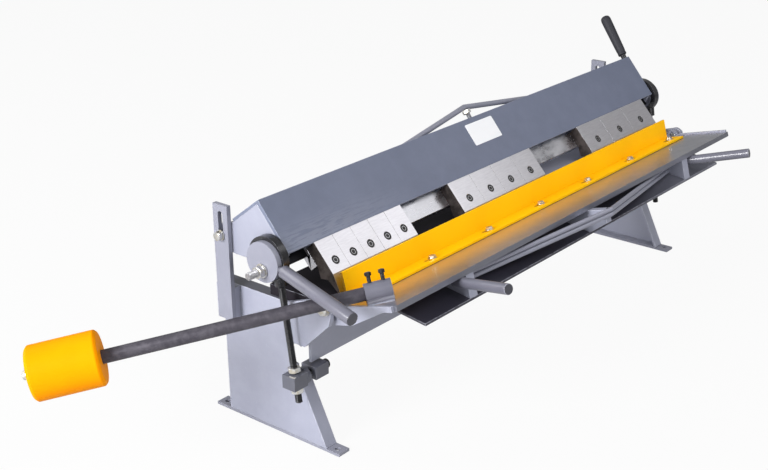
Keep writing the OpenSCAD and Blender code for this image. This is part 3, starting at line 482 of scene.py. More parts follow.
zincLook = {
    "cloud": (130, 3), "cloudEdge": (0.45, 0.62), "tone": (0.62, 0.62, 0.61), "warm": (0.56, 0.52, 0.44),
    "shine": 0.2, "cloudRough": 0.25, "grain": (900,), "bump": (0.12, 0.0003),
}


def zincPlate(name, look):
    finish = Finish(name, Metallic=1.0)
    cloud = finish.noise(*look["cloud"])
    color = finish.mix(finish.between(cloud, *look["cloudEdge"]), look["tone"], look["warm"])
    return finish.done(color, cloud * look["cloudRough"] + look["shine"], finish.noise(*look["grain"]),
                       *look["bump"])


oxideLook = {
    "cloud": (70, 4, 0.6), "cloudRough": 0.2, "paler": (0.03, 0.03, 0.033),
    "rub": (300,), "rubEdge": (0.6, 0.75), "rubShare": 0.5,
    "edgeShare": 0.4, "edgeTone": (0.2, 0.2, 0.21), "bump": (0.1, 0.0003),
}


def blackOxide(name, tone, bare, shine, coat=0.3, metal=0.55):
    # blackened steel, rubbed bare in small spots and along its edges
    look = oxideLook
    finish = Finish(name, Metallic=metal, IOR=1.5, Coat_Weight=coat, Coat_Roughness=0.2)
    cloud = finish.noise(*look["cloud"])
    rub = finish.patches(look, "rub")
    base = finish.mix(rub * look["rubShare"], finish.mix(cloud, tone, look["paler"]), bare)
    color = finish.mix(finish.edges() * look["edgeShare"], base, look["edgeTone"])
    return finish.done(color, cloud * look["cloudRough"] + shine, rub, *look["bump"])


barLook = {
    "scale": (55, 5, 0.65), "scaleEdge": (0.35, 0.7), "dark": (0.045, 0.041, 0.054),
    "light": (0.08, 0.074, 0.09), "shine": 0.32, "scaleRough": 0.3, "bump": (0.25, 0.0004),
    "rub": (30, 3, 0.5, (0.25, 0.25, 0.25)), "rubEdge": (0.55, 0.7), "rubShare": 0.4, "rubPaler": 1.6,
}


def millBar(name, look):
    # hot rolled bar: dark scale with broad lighter rubs
    finish = Finish(name, Metallic=0.4, IOR=1.5)
    scale = finish.noise(*look["scale"])
    base = finish.mix(finish.between(scale, *look["scaleEdge"]), look["dark"], look["light"])
    rub = finish.patches(look, "rub") * look["rubShare"]
    color = finish.mix(rub, base, scaled(look["light"], look["rubPaler"]))
    return finish.done(color, scale * look["scaleRough"] + look["shine"], scale, *look["bump"])


gripLook = {
    "cloud": (40, 3), "dark": (0.014, 0.014, 0.019), "light": (0.028, 0.028, 0.036),
    "shine": 0.5, "cloudRough": 0.15, "leather": 900.0, "bump": (0.2, 0.0004),
}


def gripPlastic(name, look):
    # moulded plastic with a fine leather grain
    finish = Finish(name, Metallic=0.0, IOR=1.46, Specular_IOR_Level=0.35)
    cloud = finish.noise(*look["cloud"])
    leather = finish.node("ShaderNodeTexVoronoi", Vector=finish.place, Scale=look["leather"])
    color = finish.mix(cloud, look["dark"], look["light"])
    return finish.done(color, cloud * look["cloudRough"] + look["shine"],
                       finish.flow(leather, "Distance"), *look["bump"])


# each paint's tone, its darker drift, and what shows on rubbed edges, partly a painted highlight
greyTones = ((0.3, 0.31, 0.385), (0.26, 0.27, 0.34), (0.44, 0.45, 0.52))
darkTones = ((0.1, 0.104, 0.13), (0.075, 0.078, 0.1), (0.2, 0.2, 0.23))
beamTones = ((0.14, 0.16, 0.23), (0.122, 0.14, 0.203), (0.33, 0.35, 0.42))
apronTones = ((0.2, 0.205, 0.25), (0.17, 0.175, 0.215), (0.25, 0.26, 0.31))
handleTones = ((0.125, 0.125, 0.158), (0.1, 0.1, 0.128), (0.3, 0.31, 0.36))
lowerTones = ((0.13, 0.133, 0.165), (0.11, 0.112, 0.14), (0.3, 0.305, 0.36))
midTones = ((0.225, 0.23, 0.285), (0.2, 0.205, 0.255), (0.4, 0.41, 0.47))
weldTones = ((0.27, 0.28, 0.35), (0.2, 0.21, 0.26), (0.4, 0.41, 0.47))
labelTones = ((0.86, 0.87, 0.9), (0.82, 0.83, 0.86), (0.7, 0.7, 0.72))

# what is painted on the plates, its places in metres: scuffs on the beam, a painted reflection of the
# yellow bar on the apron, and painted shade on the left of the bed and of the lower plate
beamScuffs = {"streak": (110, 3, 0.65, (0.22, 2.6, 2.6)), "streakEdge": (0.42, 0.52),
              "lower": (-0.45, -0.405), "left": (0.25, 0.6), "share": 0.3, "tone": (0.3, 0.315, 0.38)}
apronReflection = {"forward": (0.07, 0.14), "right": (-0.1, 0.45), "share": 0.6, "tone": (0.72, 0.42, 0.18)}
bedShade = {"border": (-0.1, 0.24), "tone": (0.012, 0.01, 0.014)}
lowerShade = {"border": (0.05, 0.5), "tone": (0.03, 0.029, 0.043)}

finishes = {
    "frame": enamel("framePaint", greyTones, grime=0.4),
    # the stand's top faces are painted darker as painted shade
    "stand": enamel("standPaint", greyTones, toned=("top", 0.25)),
    # painted shade: the right cam disc takes this paint where its left twin takes the mid paint
    "shade": enamel("underPaint", darkTones),
    "beam": enamel("beamPaint", beamTones, shine=0.5, coat=0.0, markedBy=scuffed, marks=beamScuffs),
    # the bed is painted dark on the left as painted shade
    "bed": enamel("bedPaint", greyTones, shine=0.65, coat=0.0, markedBy=shadedLeft, marks=bedShade,
                  Specular_IOR_Level=0.12),
    # the apron carries a painted reflection of the yellow bar
    "apron": enamel("apronPaint", apronTones, shine=0.34, peel=0.08, coat=1.0, coatRough=0.25,
                    markedBy=paintedYellowReflection, marks=apronReflection, Metallic=0.6, Coat_IOR=1.8),
    # the front faces of the handles and the lever sleeve are painted darker as painted shade
    "handle": enamel("handlePaint", handleTones, toned=("front", 0.35)),
    # the lower plate is painted near black on the left as painted shade
    "under": enamel("lowerPaint", lowerTones, markedBy=shadedLeft, marks=lowerShade),
    "yellow": yellowPaint("yellowPaint", (1.0, 0.56, 0.001), (0.98, 0.52, 0.001), 0.14,
                          ends=(0.22, 0.11, 0.008)),
    "weight": yellowPaint("weightPaint", (0.82, 0.275, 0.001), (0.78, 0.25, 0.001), 0.02),
    "mid": enamel("discPaint", midTones),       # cam disc, feet, guide bars and truss rods
    "finger": groundSteel("groundFinger", (0.69, 0.68, 0.72), (0.61, 0.6, 0.64), (0.7, 6, 6), 0.25,
                          stain=(0.6, 0.58, 0.58), sides=(0.05, 0.042, 0.04), rub=0.1),
    "rail": galvanised("railSteel", railLook),
    "zinc": zincPlate("zincPlate", zincLook),
    "stud": groundSteel("studSteel", (0.5, 0.5, 0.52), (0.34, 0.34, 0.36), (6, 6, 6), 0.26),
    "black": blackOxide("blackOxide", (0.012, 0.012, 0.014), (0.09, 0.09, 0.095), 0.28),
    # painted shade: near black rings that stand in for the shadow in the finger screws' counterbores
    "pit": blackOxide("counterboreShadeBlack", (0.003, 0.003, 0.004), (0.012, 0.012, 0.014), 0.5, coat=0.0, metal=0.0),
    "gun": blackOxide("gunmetal", (0.03, 0.03, 0.035), (0.16, 0.16, 0.17), 0.14),
    "bar": millBar("millBar", barLook),
    "grip": gripPlastic("gripPlastic", gripLook),
    "label": enamel("blankLabel", labelTones, shine=0.35, peel=0.03, grime=0.1, coat=0.1),
    "weld": enamel("paintedWeld", weldTones, peel=0.5),
}

print("finishes made")


# mesh helpers

meshLimits = {
    "same": 2e-6,               # metres: corners closer than this are one
    "flat": 0.4,                # degrees: faces that differ by less are joined
    "corner": 28,               # degrees: sharper corners are rounded
    "sharp": 32,                # degrees: sharper corners are shaded as edges
    "steps": 2,                 # faces across a rounded edge
}


def linkPiece(name, mesh, body, finish, replaced=()):
    piece = newObject(name, mesh)
    mesh.materials.clear()
    mesh.materials.append(finishes[finish])
    mesh.polygons.foreach_set("material_index", [0] * len(mesh.polygons))
    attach(piece, body)
    if replaced:
        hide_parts(*replaced)
    return piece


def settled(piece):
    # the evaluated object as a plain mesh, its modifiers spent
    graph = bpy.context.evaluated_depsgraph_get()
    mesh = bpy.data.meshes.new_from_object(piece.evaluated_get(graph))
    bpy.data.objects.remove(piece)
    return mesh


def smoothed(mesh, sharp):
    mesh.polygons.foreach_set("use_smooth", [True] * len(mesh.polygons))
    mesh.set_sharp_from_angle(angle=math.radians(sharp))
    mesh.update()


def meshFrom(body, name):
    mesh = bpy.data.meshes.new(name)
    body.to_mesh(mesh)
    body.free()
    smoothed(mesh, meshLimits["sharp"])
    return mesh


def mergedNode(nodeName):
    body = bmesh.new()
    body.from_mesh(cadNodes[nodeName].data)
    bmesh.ops.remove_doubles(body, verts=body.verts, dist=meshLimits["same"])
    return body


def softenedCopy(nodeName, edge):
    # a CAD solid with its flats joined again and its edges rounded and marked
    corner = math.radians(meshLimits["corner"])
    body = mergedNode(nodeName)
    bmesh.ops.dissolve_limit(body, angle_limit=math.radians(meshLimits["flat"]), verts=body.verts,
                             edges=body.edges)
    mesh = bpy.data.meshes.new(nodeName + "Draft")
    body.to_mesh(mesh)
    body.free()
    for slot in ("flats", "edges"):
        mesh.materials.append(finishes["frame"])
    mesh.polygons.foreach_set("material_index", [0] * len(mesh.polygons))
    smoothed(mesh, meshLimits["corner"])
    piece = newObject(nodeName + "Draft", mesh)
    rounding = piece.modifiers.new("rounding", "BEVEL")
    rounding.width = edge
    rounding.segments = meshLimits["steps"]
    rounding.limit_method = "ANGLE"
    rounding.angle_limit = corner
    rounding.use_clamp_overlap = True
    rounding.miter_outer = "MITER_ARC"
    rounding.material = 1               # the second slot marks the rounded edges
    evening = piece.modifiers.new("evening", "WEIGHTED_NORMAL")
    evening.mode = "FACE_AREA"
    evening.weight = 100
    evening.keep_sharp = True
    result = settled(piece)
    slots = [0] * len(result.polygons)
    result.polygons.foreach_get("material_index", slots)
    result.attributes.new("edge", "FLOAT", "FACE").data.foreach_set("value", [float(s) for s in slots])
    return result


def bodyOf(nodeName):
    for body, members in cadBodies.items():
        if nodeName in members:
            return body


def solidsOf(nodeName):
    # the separate solids of a CAD node, from left to right, each as its points
    body = mergedNode(nodeName)
    waiting = set(body.verts)
    solids = []
    while waiting:
        chain = [waiting.pop()]
        points = []
        while chain:
            vert = chain.pop()
            points.append(vert.co.copy())
            for edge in vert.link_edges:
                other = edge.other_vert(vert)
                if other in waiting:
                    waiting.discard(other)
                    chain.append(other)
        solids.append(points)
    body.free()
    return sorted(solids, key=lambda points: (round(min(p.x for p in points), 4),
                                              round(min(p.z for p in points), 4)))


def spindle(points, way):
    # the foot and the length of a solid's middle line
    way = Vector(way).normalized()
    side = way.orthogonal().normalized()
    axes = (way, side, way.cross(side))
    spans = [(min(p.dot(axis) for p in points), max(p.dot(axis) for p in points)) for axis in axes]
    foot = way * spans[0][0]
    for axis, span in zip(axes[1:], spans[1:]):
        foot += axis * (span[0] + span[1]) / 2
    return foot, spans[0][1] - spans[0][0]


def addTurned(body, start, way, profile, around):
    # a closed turned shape: profile holds radius and height pairs from one end to the other
    way = Vector(way).normalized()
    side = way.orthogonal().normalized()
    other = way.cross(side)
    turns = [2 * math.pi * step / around for step in range(around)]
    rings = []
    for radius, height in profile:
        centre = Vector(start) + way * height
        rings.append([body.verts.new(centre + (side * math.cos(a) + other * math.sin(a)) * radius)
                      for a in turns])
    for low, high in zip(rings, rings[1:]):
        for step in range(around):
            after = (step + 1) % around
            body.faces.new((low[step], low[after], high[after], high[step]))
    body.faces.new(list(reversed(rings[0])))
    body.faces.new(rings[-1])


# plates, bars and castings

softPieces = {
    # CAD node: finish, edge radius in metres
    "stand_left": ("stand", 0.0012), "stand_right": ("stand", 0.0012), "feet": ("mid", 0.0008),
    "hinge_plates": ("frame", 0.0008), "bed_plate": ("bed", 0.0006), "bed_web": ("frame", 0.0006),
    "guide_spacers": ("frame", 0.0008), "guide_bar_left": ("mid", 0.0008),
    "guide_bar_right": ("mid", 0.0008), "link_brackets": ("shade", 0.001),
    "pivot_block_left": ("shade", 0.001), "pivot_block_right": ("shade", 0.001),
    "strap_ring_left": ("gun", 0.0008), "strap_ring_right": ("gun", 0.0008),
    "beam_front_plate": ("beam", 0.0009), "beam_rear_plate": ("beam", 0.0009),
    "beam_end_left": ("frame", 0.0006), "beam_end_right": ("frame", 0.0006),
    "clamp_rail": ("rail", 0.0006), "fingers_narrow": ("finger", 0.0004),
    "fingers_medium": ("finger", 0.0004), "fingers_wide": ("finger", 0.0004),
    # the right cam disc takes the shade paint as painted shade
    "cam_disc_left": ("mid", 0.0008), "cam_disc_right": ("shade", 0.0008),
    "apron_plate": ("apron", 0.0005), "apron_lower_plate": ("under", 0.0009),
    "apron_gussets": ("frame", 0.0006), "apron_ends": ("frame", 0.0006),
    "apron_strut": ("frame", 0.0008), "pull_handle_left": ("handle", 0.001),
    "pull_handle_right": ("handle", 0.001), "bending_angle": ("yellow", 0.0005),
    "lever_sleeve": ("handle", 0.001), "lever_bar": ("bar", 0.0008), "counterweight": ("weight", 0.0015),
    "beam_truss_rod": ("mid", 0.0004), "apron_truss_rods": ("mid", 0.0004),
}


def pieceName(nodeName):
    words = nodeName.split("_")
    return words[0] + "".join(word.capitalize() for word in words[1:])


for nodeName, (finish, edge) in softPieces.items():
    linkPiece(pieceName(nodeName), softenedCopy(nodeName, edge), bodyOf(nodeName), finish, [nodeName])
print("plates and bars rounded")


# screws, nuts and washers

fastenerLook = {
    "around": 48, "shankAround": 24, "rimRings": 8, "headRings": 24,
    "rimChamfer": 0.0003,
    "threadShare": 0.4, "turnRings": 4,     # a thread's depth in pitches, and its rings in each turn
    "crownShare": 0.95, "footShare": 0.97, "cornerSlope": 1.9,      # a hexagon's turned-off corners
    "spin": 0.5,                            # radians, the most that chance turns a head
}
fastenerSizes = {"Flats": 0.0065, "Height": 0.005, "Rim": 0.0095, "Rim height": 0.0016, "Shank": 0.004,
                 "Shank length": 0.016, "Pitch": 0.00125, "Shank rings": 40, "Seed": 7}


def thread(angle, height, pitch):
    # 0 in the groove of a thread, 1 on its crest
    return abs((height / pitch + angle / (2 * math.pi)) % 1 * 2 - 1)


def hexagonRadius(angle, flats):
    return flats / (angle % (math.pi / 3) - math.pi / 6).cosine()


def shankAndRim(growth):
    # what every fastener has under its head: a washer or rim, then a threaded shank
    look = fastenerLook
    rim = growth.size("Rim")
    rimHeight = growth.size("Rim height")
    corner = rim - look["rimChamfer"]

    def rimRadius(angle, height):
        return rim.least((corner + height).least(corner + rimHeight - height))

    ring = growth.turned(look["around"], look["rimRings"], rimHeight, rimRadius)
    shank = growth.size("Shank")
    long = growth.size("Shank length")
    pitch = growth.size("Pitch")

    def shankRadius(angle, height):
        return shank - (1 - thread(angle, height, pitch)) * pitch * look["threadShare"]

    screw = growth.turned(look["shankAround"], growth.size("Shank rings"), long, shankRadius)
    return [growth.lowered(ring, rimHeight), growth.lowered(screw, long)]


def hexTree():
    # a hexagon with turned-off corners, grown on every point it is given
    look = fastenerLook
    growth = Growth("hexFasteners", fastenerSizes)
    flats = growth.size("Flats")
    high = growth.size("Height")

    def headRadius(angle, height):
        crown = flats * look["crownShare"] + (high - height) * look["cornerSlope"]
        foot = flats * look["footShare"] + height * look["cornerSlope"]
        return hexagonRadius(angle, flats).least(crown.least(foot))

    head = growth.turned(look["around"], look["headRings"], high, headRadius)
    return growth.close(growth.placed(growth.joined([head] + shankAndRim(growth)), look["spin"]))


def socketTree():
    # a round head with a hexagon socket: its wall runs up the outside and down into the socket
    look = fastenerLook
    growth = Growth("socketScrews", {**fastenerSizes, "Head": 0.006, "Socket depth": 0.004})
    head = growth.size("Head")
    high = growth.size("Height")
    x, y, z = growth.position()
    hexagon = hexagonRadius(y.angleTo(x), growth.size("Flats"))
    bevelShare = 0.08
    floorShare = 0.98
    bevel = high * bevelShare
    radii = [head, head, head - bevel, hexagon + bevel, hexagon, hexagon * floorShare]
    heights = [0.0, high - bevel, high, high, high - bevel, high - growth.size("Socket depth")]
    stations = len(radii) - 1
    step = (z + 0.5) * stations

    def atStation(values):
        total = 0
        for number, value in enumerate(values):
            total = (abs(step - number) < 0.5) * value + total
        return total

    drum = growth.drum(look["around"], stations)
    shaped = growth.shaped(drum, x, y, atStation(radii), atStation(heights))
    return growth.close(growth.placed(growth.joined([shaped] + shankAndRim(growth)), look["spin"]))


rodLook = {
    "around": 32, "threadShare": 0.55, "turnRings": 5,
    "tipShare": 0.7, "tipSlope": 0.9,       # how far the far end is turned down, in pitches, and how fast
}


def threadTree():
    # a rod with a thread cut along it, its far end turned down a little
    look = rodLook
    growth = Growth("threadedRods", {"Radius": 0.008, "Pitch": 0.002, "Length": 0.08, "Rings": 200,
                                     "Seed": 3})
    radius = growth.size("Radius")
    pitch = growth.size("Pitch")
    long = growth.size("Length")

    def threadRadius(angle, height):
        tip = radius - pitch * look["tipShare"] + (long - height) * look["tipSlope"]
        return (radius - (1 - thread(angle, height, pitch)) * pitch * look["threadShare"]).least(tip)

    rod = growth.turned(look["around"], growth.size("Rings"), long, threadRadius)
    return growth.close(growth.placed(rod, 0.0))


weldLook = {
    "segments": 10, "rings": 6, "smallest": 0.82, "largest": 1.12,
    "flatness": 0.8, "spacing": 0.85,       # height and spacing of the ripples, in beads
}


def weldTree():
    # overlapping ripples along every edge it is given
    look = weldLook
    growth = Growth("weldBeads", {"Bead": 0.0025, "Spacing": 0.0022, "Seed": 5})
    line = growth.node("GeometryNodeMeshToCurve", Mesh=growth.entry.outputs["Geometry"])
    dots = growth.node("GeometryNodeCurveToPoints", {"mode": "LENGTH"}, Curve=line.outputs[0],
                       Length=growth.size("Spacing"))
    drop = growth.node("GeometryNodeMeshUVSphere", Segments=look["segments"], Rings=look["rings"],
                       Radius=1.0)
    wide = growth.chance(look["smallest"], look["largest"]) * growth.size("Bead")
    scale = growth.node("ShaderNodeCombineXYZ", X=wide, Y=wide, Z=wide * look["flatness"])
    drops = growth.node("GeometryNodeInstanceOnPoints", Points=dots.outputs["Points"],
                        Instance=drop.outputs[0], Rotation=dots.outputs["Rotation"],
                        Scale=scale.outputs[0])
    return growth.close(drops.outputs[0])


trees = {"hex": hexTree(), "socket": socketTree(), "thread": threadTree(), "weld": weldTree()}
grownSharp = 30         # degrees: sharper corners of a grown piece are shaded as edges


def grow(name, kind, body, finish, spots, sizes, replaced=(), edges=()):
    # points, or lines, go in; a plain mesh on its body comes out
    mesh = bpy.data.meshes.new(name + "Spots")
    mesh.from_pydata([tuple(spot) for spot, way in spots], list(edges), [])
    ways = mesh.attributes.new("way", "FLOAT_VECTOR", "POINT")
    for number, (spot, way) in enumerate(spots):
        ways.data[number].vector = way
    seed = newObject(name + "Spots", mesh)
    growing = seed.modifiers.new("growing", "NODES")
    growing.node_group = trees[kind]
    for socket in trees[kind].interface.items_tree:
        if socket.in_out == "INPUT" and socket.name in sizes:
            growing[socket.identifier] = sizes[socket.name]
        if socket.in_out == "INPUT" and socket.name == "Finish":
            growing[socket.identifier] = finishes[finish]
    grown = settled(seed)
    smoothed(grown, grownSharp)
    return linkPiece(name, grown, body, finish, replaced)


def farSpots(nodeName, ways, height):
    # where heads sit: each solid's far end, less the head
    spots = []
    for points, way in zip(solidsOf(nodeName), ways):
        foot, long = spindle(points, way)
        spots.append((foot + way * (long - height), way))
    return spots


def nearSpots(nodeName, ways):
    return [(spindle(points, way)[0], way) for points, way in zip(solidsOf(nodeName), ways)]


def ringed(sizes):
    turns = sizes["Shank length"] / sizes["Pitch"]
    return {**sizes, "Shank rings": max(4, round(turns * fastenerLook["turnRings"]))}


rodLean = math.radians(8.33)            # of the link rods, from upright
rodWay = Vector((0, math.sin(rodLean), math.cos(rodLean)))
postWay = Vector((0, 0.6089, 0.7932))
outward = (Vector((-1, 0, 0)), Vector((1, 0, 0)))
m8 = {"Shank": 0.004, "Pitch": 0.00125}         # shank radius and pitch, in metres
m12 = {"Shank": 0.006, "Pitch": 0.00175}
flush = {"Rim height": 0.0002}                  # for nuts and screws with no washer
linkNut = {"Flats": 0.011, "Height": 0.01, "Rim": 0.0072, **flush, "Shank": 0.007, "Shank length": 0.002,
           "Pitch": 0.002, "Seed": 8}

hexFasteners = {
    # CAD node: body, finish, the end of each solid that its head or nut starts from, directions,
    # washers shown with it, sizes in metres
    "angle_bolts": ("apron", "zinc", "far", [apronUp] * 7, ["angle_washers"],
                    {"Flats": 0.0065, "Height": 0.005, "Rim": 0.0095, "Rim height": 0.0016, **m8,
                     "Shank length": 0.0176}),
    "sleeve_bolts": ("apron", "black", "far", [apronUp] * 2, [],
                     {"Flats": 0.00554, "Height": 0.0064, "Rim": 0.0045, "Rim height": 0.0005, **m8,
                      "Shank length": 0.0175, "Seed": 11}),
    "guide_bolts": ("beam", "zinc", "far", outward, ["guide_washers"],
                    {"Flats": 0.0083, "Height": 0.0096, "Rim": 0.0105, "Rim height": 0.0024, **m12,
                     "Shank length": 0.0363, "Seed": 4}),
    "guide_nuts": ("beam", "zinc", "near", outward, [],
                   {"Flats": 0.0083, "Height": 0.0096, "Rim": 0.006, **flush, **m12,
                    "Shank length": 0.0024, "Seed": 6}),
    "cam_nuts": ("beam", "zinc", "near", outward, ["cam_washers"],
                 {"Flats": 0.0111, "Height": 0.012, "Rim": 0.014, "Rim height": 0.0032,
                  "Shank": 0.0082, "Shank length": 0.003, "Pitch": 0.002, "Seed": 9}),
    "hinge_bolts": ("frame", "zinc", "far", outward, [],
                    {"Flats": 0.0111, "Height": 0.0068, "Rim": 0.014, "Rim height": 0.0032,
                     "Shank": 0.008, "Shank length": 0.0272, "Pitch": 0.004, "Seed": 2}),
    "link_nuts_left": ("link_left", "zinc", "near", [rodWay] * 2, [], linkNut),
    "link_nuts_right": ("link_right", "zinc", "near", [rodWay] * 2, [], linkNut),
    "truss_nut": ("beam", "zinc", "near", [postWay], [],
                  {"Flats": 0.00844, "Height": 0.008, "Rim": 0.005, **flush, "Shank": 0.005,
                   "Shank length": 0.002, "Pitch": 0.0015, "Seed": 5}),
}

for nodeName, (body, finish, end, ways, washers, sizes) in hexFasteners.items():
    spots = farSpots(nodeName, ways, sizes["Height"]) if end == "far" else nearSpots(nodeName, ways)
    grow(pieceName(nodeName), "hex", body, finish, spots, ringed(sizes), [nodeName] + washers)

fingerIn = Vector((0, 0.7448, -0.6673))         # square to the fingers' front, inward
setScrews = {
    # piece: finish, how far outside the CAD screw's end its head sits, node it replaces, sizes in metres
    "fingerScrews": ("stud", 0.0019, ["finger_screws"],
                     {"Flats": 0.0038, "Height": 0.0005, "Rim": 0.0048, **flush, "Shank": 0.0045,
                      "Shank length": 0.024, "Pitch": 0.0015, "Head": 0.0051, "Socket depth": 0.001}),
    # black rings around the finger screws, painted shade that stands in for the shadow in their
    # counterbores
    "counterboreShades": ("pit", 0.0016, [],
                     {"Flats": 0.0002, "Height": 0.0005, "Rim": 0.0085, "Rim height": 0.0015,
                      "Shank": 0.006, "Shank length": 0.0226, "Pitch": 0.0015, "Head": 0.0078,
                      "Socket depth": 0.0001}),
}
screwEnds = [spindle(points, fingerIn)[0] for points in solidsOf("finger_screws")]
for name, (finish, out, replaced, sizes) in setScrews.items():
    grow(name, "socket", "beam", finish, [(end - fingerIn * out, -fingerIn) for end in screwEnds],
         ringed(sizes), replaced)

pivotScrew = {"Flats": 0.0052, "Height": 0.012, "Rim": 0.0096, "Rim height": 0.0004, "Shank": 0.006,
              "Shank length": 0.09, "Pitch": 0.006, "Head": 0.0096, "Socket depth": 0.006}
pivotSpots = [(spindle(points, way)[0] + way * pivotScrew["Height"], -way)
              for points, way in zip(solidsOf("pivot_screws"), outward)]
grow("pivotScrews", "socket", "frame", "black", pivotSpots, ringed(pivotScrew), ["pivot_screws"])
print("fasteners grown")


# threaded rods

threadedRods = {
    # CAD node: body, finish, directions, radius and pitch in metres
    "cam_studs": ("beam", "stud", outward, 0.008, 0.0025),
    "link_rod_left": ("link_left", "black", [rodWay], 0.007, 0.0025),
    "link_rod_right": ("link_right", "black", [rodWay], 0.007, 0.0025),
    "truss_post": ("beam", "stud", [postWay], 0.005, 0.002),
    "strut_screws": ("apron", "black", [apronForward] * 2, 0.004, 0.00125),
}

for nodeName, (body, finish, ways, radius, pitch) in threadedRods.items():
    long = spindle(solidsOf(nodeName)[0], ways[0])[1]
    sizes = {"Radius": radius, "Pitch": pitch, "Length": long,
             "Rings": round(long / pitch * rodLook["turnRings"])}
    grow(pieceName(nodeName), "thread", body, finish, nearSpots(nodeName, ways), sizes, [nodeName])
print("threads cut")


# handles

handles = {
    # degrees and metres: how far each rises or dips, how far it leans outward
    "left": {"side": -1, "rise": 7.5, "lean": 10, "rear": -1, "radius": 0.0125, "long": 0.2},
    "right": {"side": 1, "rise": 50.5, "lean": 10, "rear": 1, "radius": 0.007, "long": 0.1317},
    "pivot": (0.7013, -0.032, 0.383),       # of the right cam; the left one mirrors it
    "discEdge": 0.0385, "start": 0.0483,    # from the pivot, the neck's foot and the rod's
    "neck": 0.0052, "neckOverlap": 0.003,
    "neckAround": 32, "rodAround": 48,
}
rodEnds = {
    # the rod's foot as radius shares and heights, and how far its far end is eased, in radii
    "neckShare": 0.8, "foot": ((0.93, 0.0014), (1, 0.0034)), "ease": 0.12, "easeShare": 0.3,
}
grip = {
    # a collar, a waist, a swell and a domed end: radius and height in metres
    "from": 0.0737, "around": 64,
    "profile": [(0.0075, 0.0), (0.0102, 0.0002), (0.011, 0.0012), (0.011, 0.006), (0.0104, 0.0075),
                (0.0104, 0.009), (0.0112, 0.011), (0.0117, 0.03), (0.0122, 0.055), (0.0128, 0.085),
                (0.013, 0.1), (0.0129, 0.105), (0.012, 0.11), (0.0098, 0.1133), (0.0066, 0.1151),
                (0.003, 0.116)],
}


def handleLine(setting):
    rise = math.radians(setting["rise"])
    lean = math.radians(setting["lean"])
    flat = Vector((0, math.cos(rise), math.sin(rise))) * setting["rear"]
    way = Vector((math.sin(lean) * setting["side"], *(flat * math.cos(lean)).yz))
    centre = Vector(handles["pivot"])
    centre.x *= setting["side"]
    return centre, flat, way


def handleMesh(setting, name):
    # a rod with a turned neck that sits on the disc's rim
    centre, flat, way = handleLine(setting)
    radius = setting["radius"]
    long = setting["long"]
    neck = handles["neck"]
    neckLong = handles["start"] - handles["discEdge"] + handles["neckOverlap"]
    ease = radius * rodEnds["ease"]
    nearlyEased = ease * rodEnds["easeShare"]
    profile = [(min(neck, radius * rodEnds["neckShare"]), 0)]
    profile += [(radius * share, height) for share, height in rodEnds["foot"]]
    profile += [(radius, long - ease), (radius - nearlyEased, long - nearlyEased), (radius - ease, long)]
    body = bmesh.new()
    addTurned(body, centre + flat * handles["discEdge"], flat, [(neck, 0), (neck, neckLong)],
              handles["neckAround"])
    addTurned(body, centre + flat * handles["start"], way, profile, handles["rodAround"])
    return meshFrom(body, name)


def gripMesh(setting):
    centre, flat, way = handleLine(setting)
    body = bmesh.new()
    addTurned(body, centre + flat * handles["start"] + way * grip["from"], way, grip["profile"],
              grip["around"])
    return meshFrom(body, "grip")


linkPiece("camHandleLeft", handleMesh(handles["left"], "leftHandle"), "cam_left", "handle",
          ["cam_handle_left"])
linkPiece("camHandleRight", handleMesh(handles["right"], "rightHandle"), "cam_right", "gun",
          ["cam_handle_right"])
linkPiece("handleGrip", gripMesh(handles["right"]), "cam_right", "grip", ["handle_grip"])

leverTurn = math.radians(42)            # of the lever, in the apron's plane, from the bend line
leverWay = Vector((-math.cos(leverTurn), 0, 0)) - apronForward * math.sin(leverTurn)
weightScrew = {
    "radius": 0.009, "socket": 0.0042, "around": 40,
    "crown": ((1, 0), (1, 0.55), (0.94, 0.8), (0.78, 0.95), (0.6, 1)),      # shares of radius, length
    "socketFloor": 0.55,                # share of the length
}


def weightScrewMesh():
    foot, long = spindle(solidsOf("weight_screw")[0], leverWay)
    profile = [(weightScrew["radius"] * wide, long * high) for wide, high in weightScrew["crown"]]
    profile += [(weightScrew["socket"], long), (weightScrew["socket"], long * weightScrew["socketFloor"])]
    body = bmesh.new()
    addTurned(body, foot, leverWay, profile, weightScrew["around"])
    return meshFrom(body, "weightScrew")


linkPiece("weightScrew", weightScrewMesh(), "apron", "zinc", ["weight_screw"])
print("handles made")


# welds, as lines from end to end

apronWelds = {
    # metres along the bend line, forward of it and over the apron's top
    "bead": 0.0022, "from": 0.06, "height": -0.0115,
    "gusset": 0.425, "gussetHalf": 0.0125, "gussetTo": 0.144, "strutHalf": 0.0102, "strutTo": 0.151,
    "sleeve": (-0.64, 0.08), "sleeveHalf": 0.0163, "sleeveFrom": 0.002, "sleeveTo": 0.048,
    "sleeveHeight": 0.0003,
}
frameWelds = {
    "bead": 0.0024,
    "stand": 0.6528, "footTop": 0.0062, "runs": ((-0.11, -0.07), (-0.02, 0.02), (0.07, 0.11)),
    "outer": 0.6592, "uprights": ((0.0798, 0.23, 0.28), (-0.0808, 0.222, 0.262)),     # y, from z, to z
}


def apronSpot(x, forward, height):
    return bendLine + Vector((x, 0, 0)) + apronForward * forward + apronUp * height


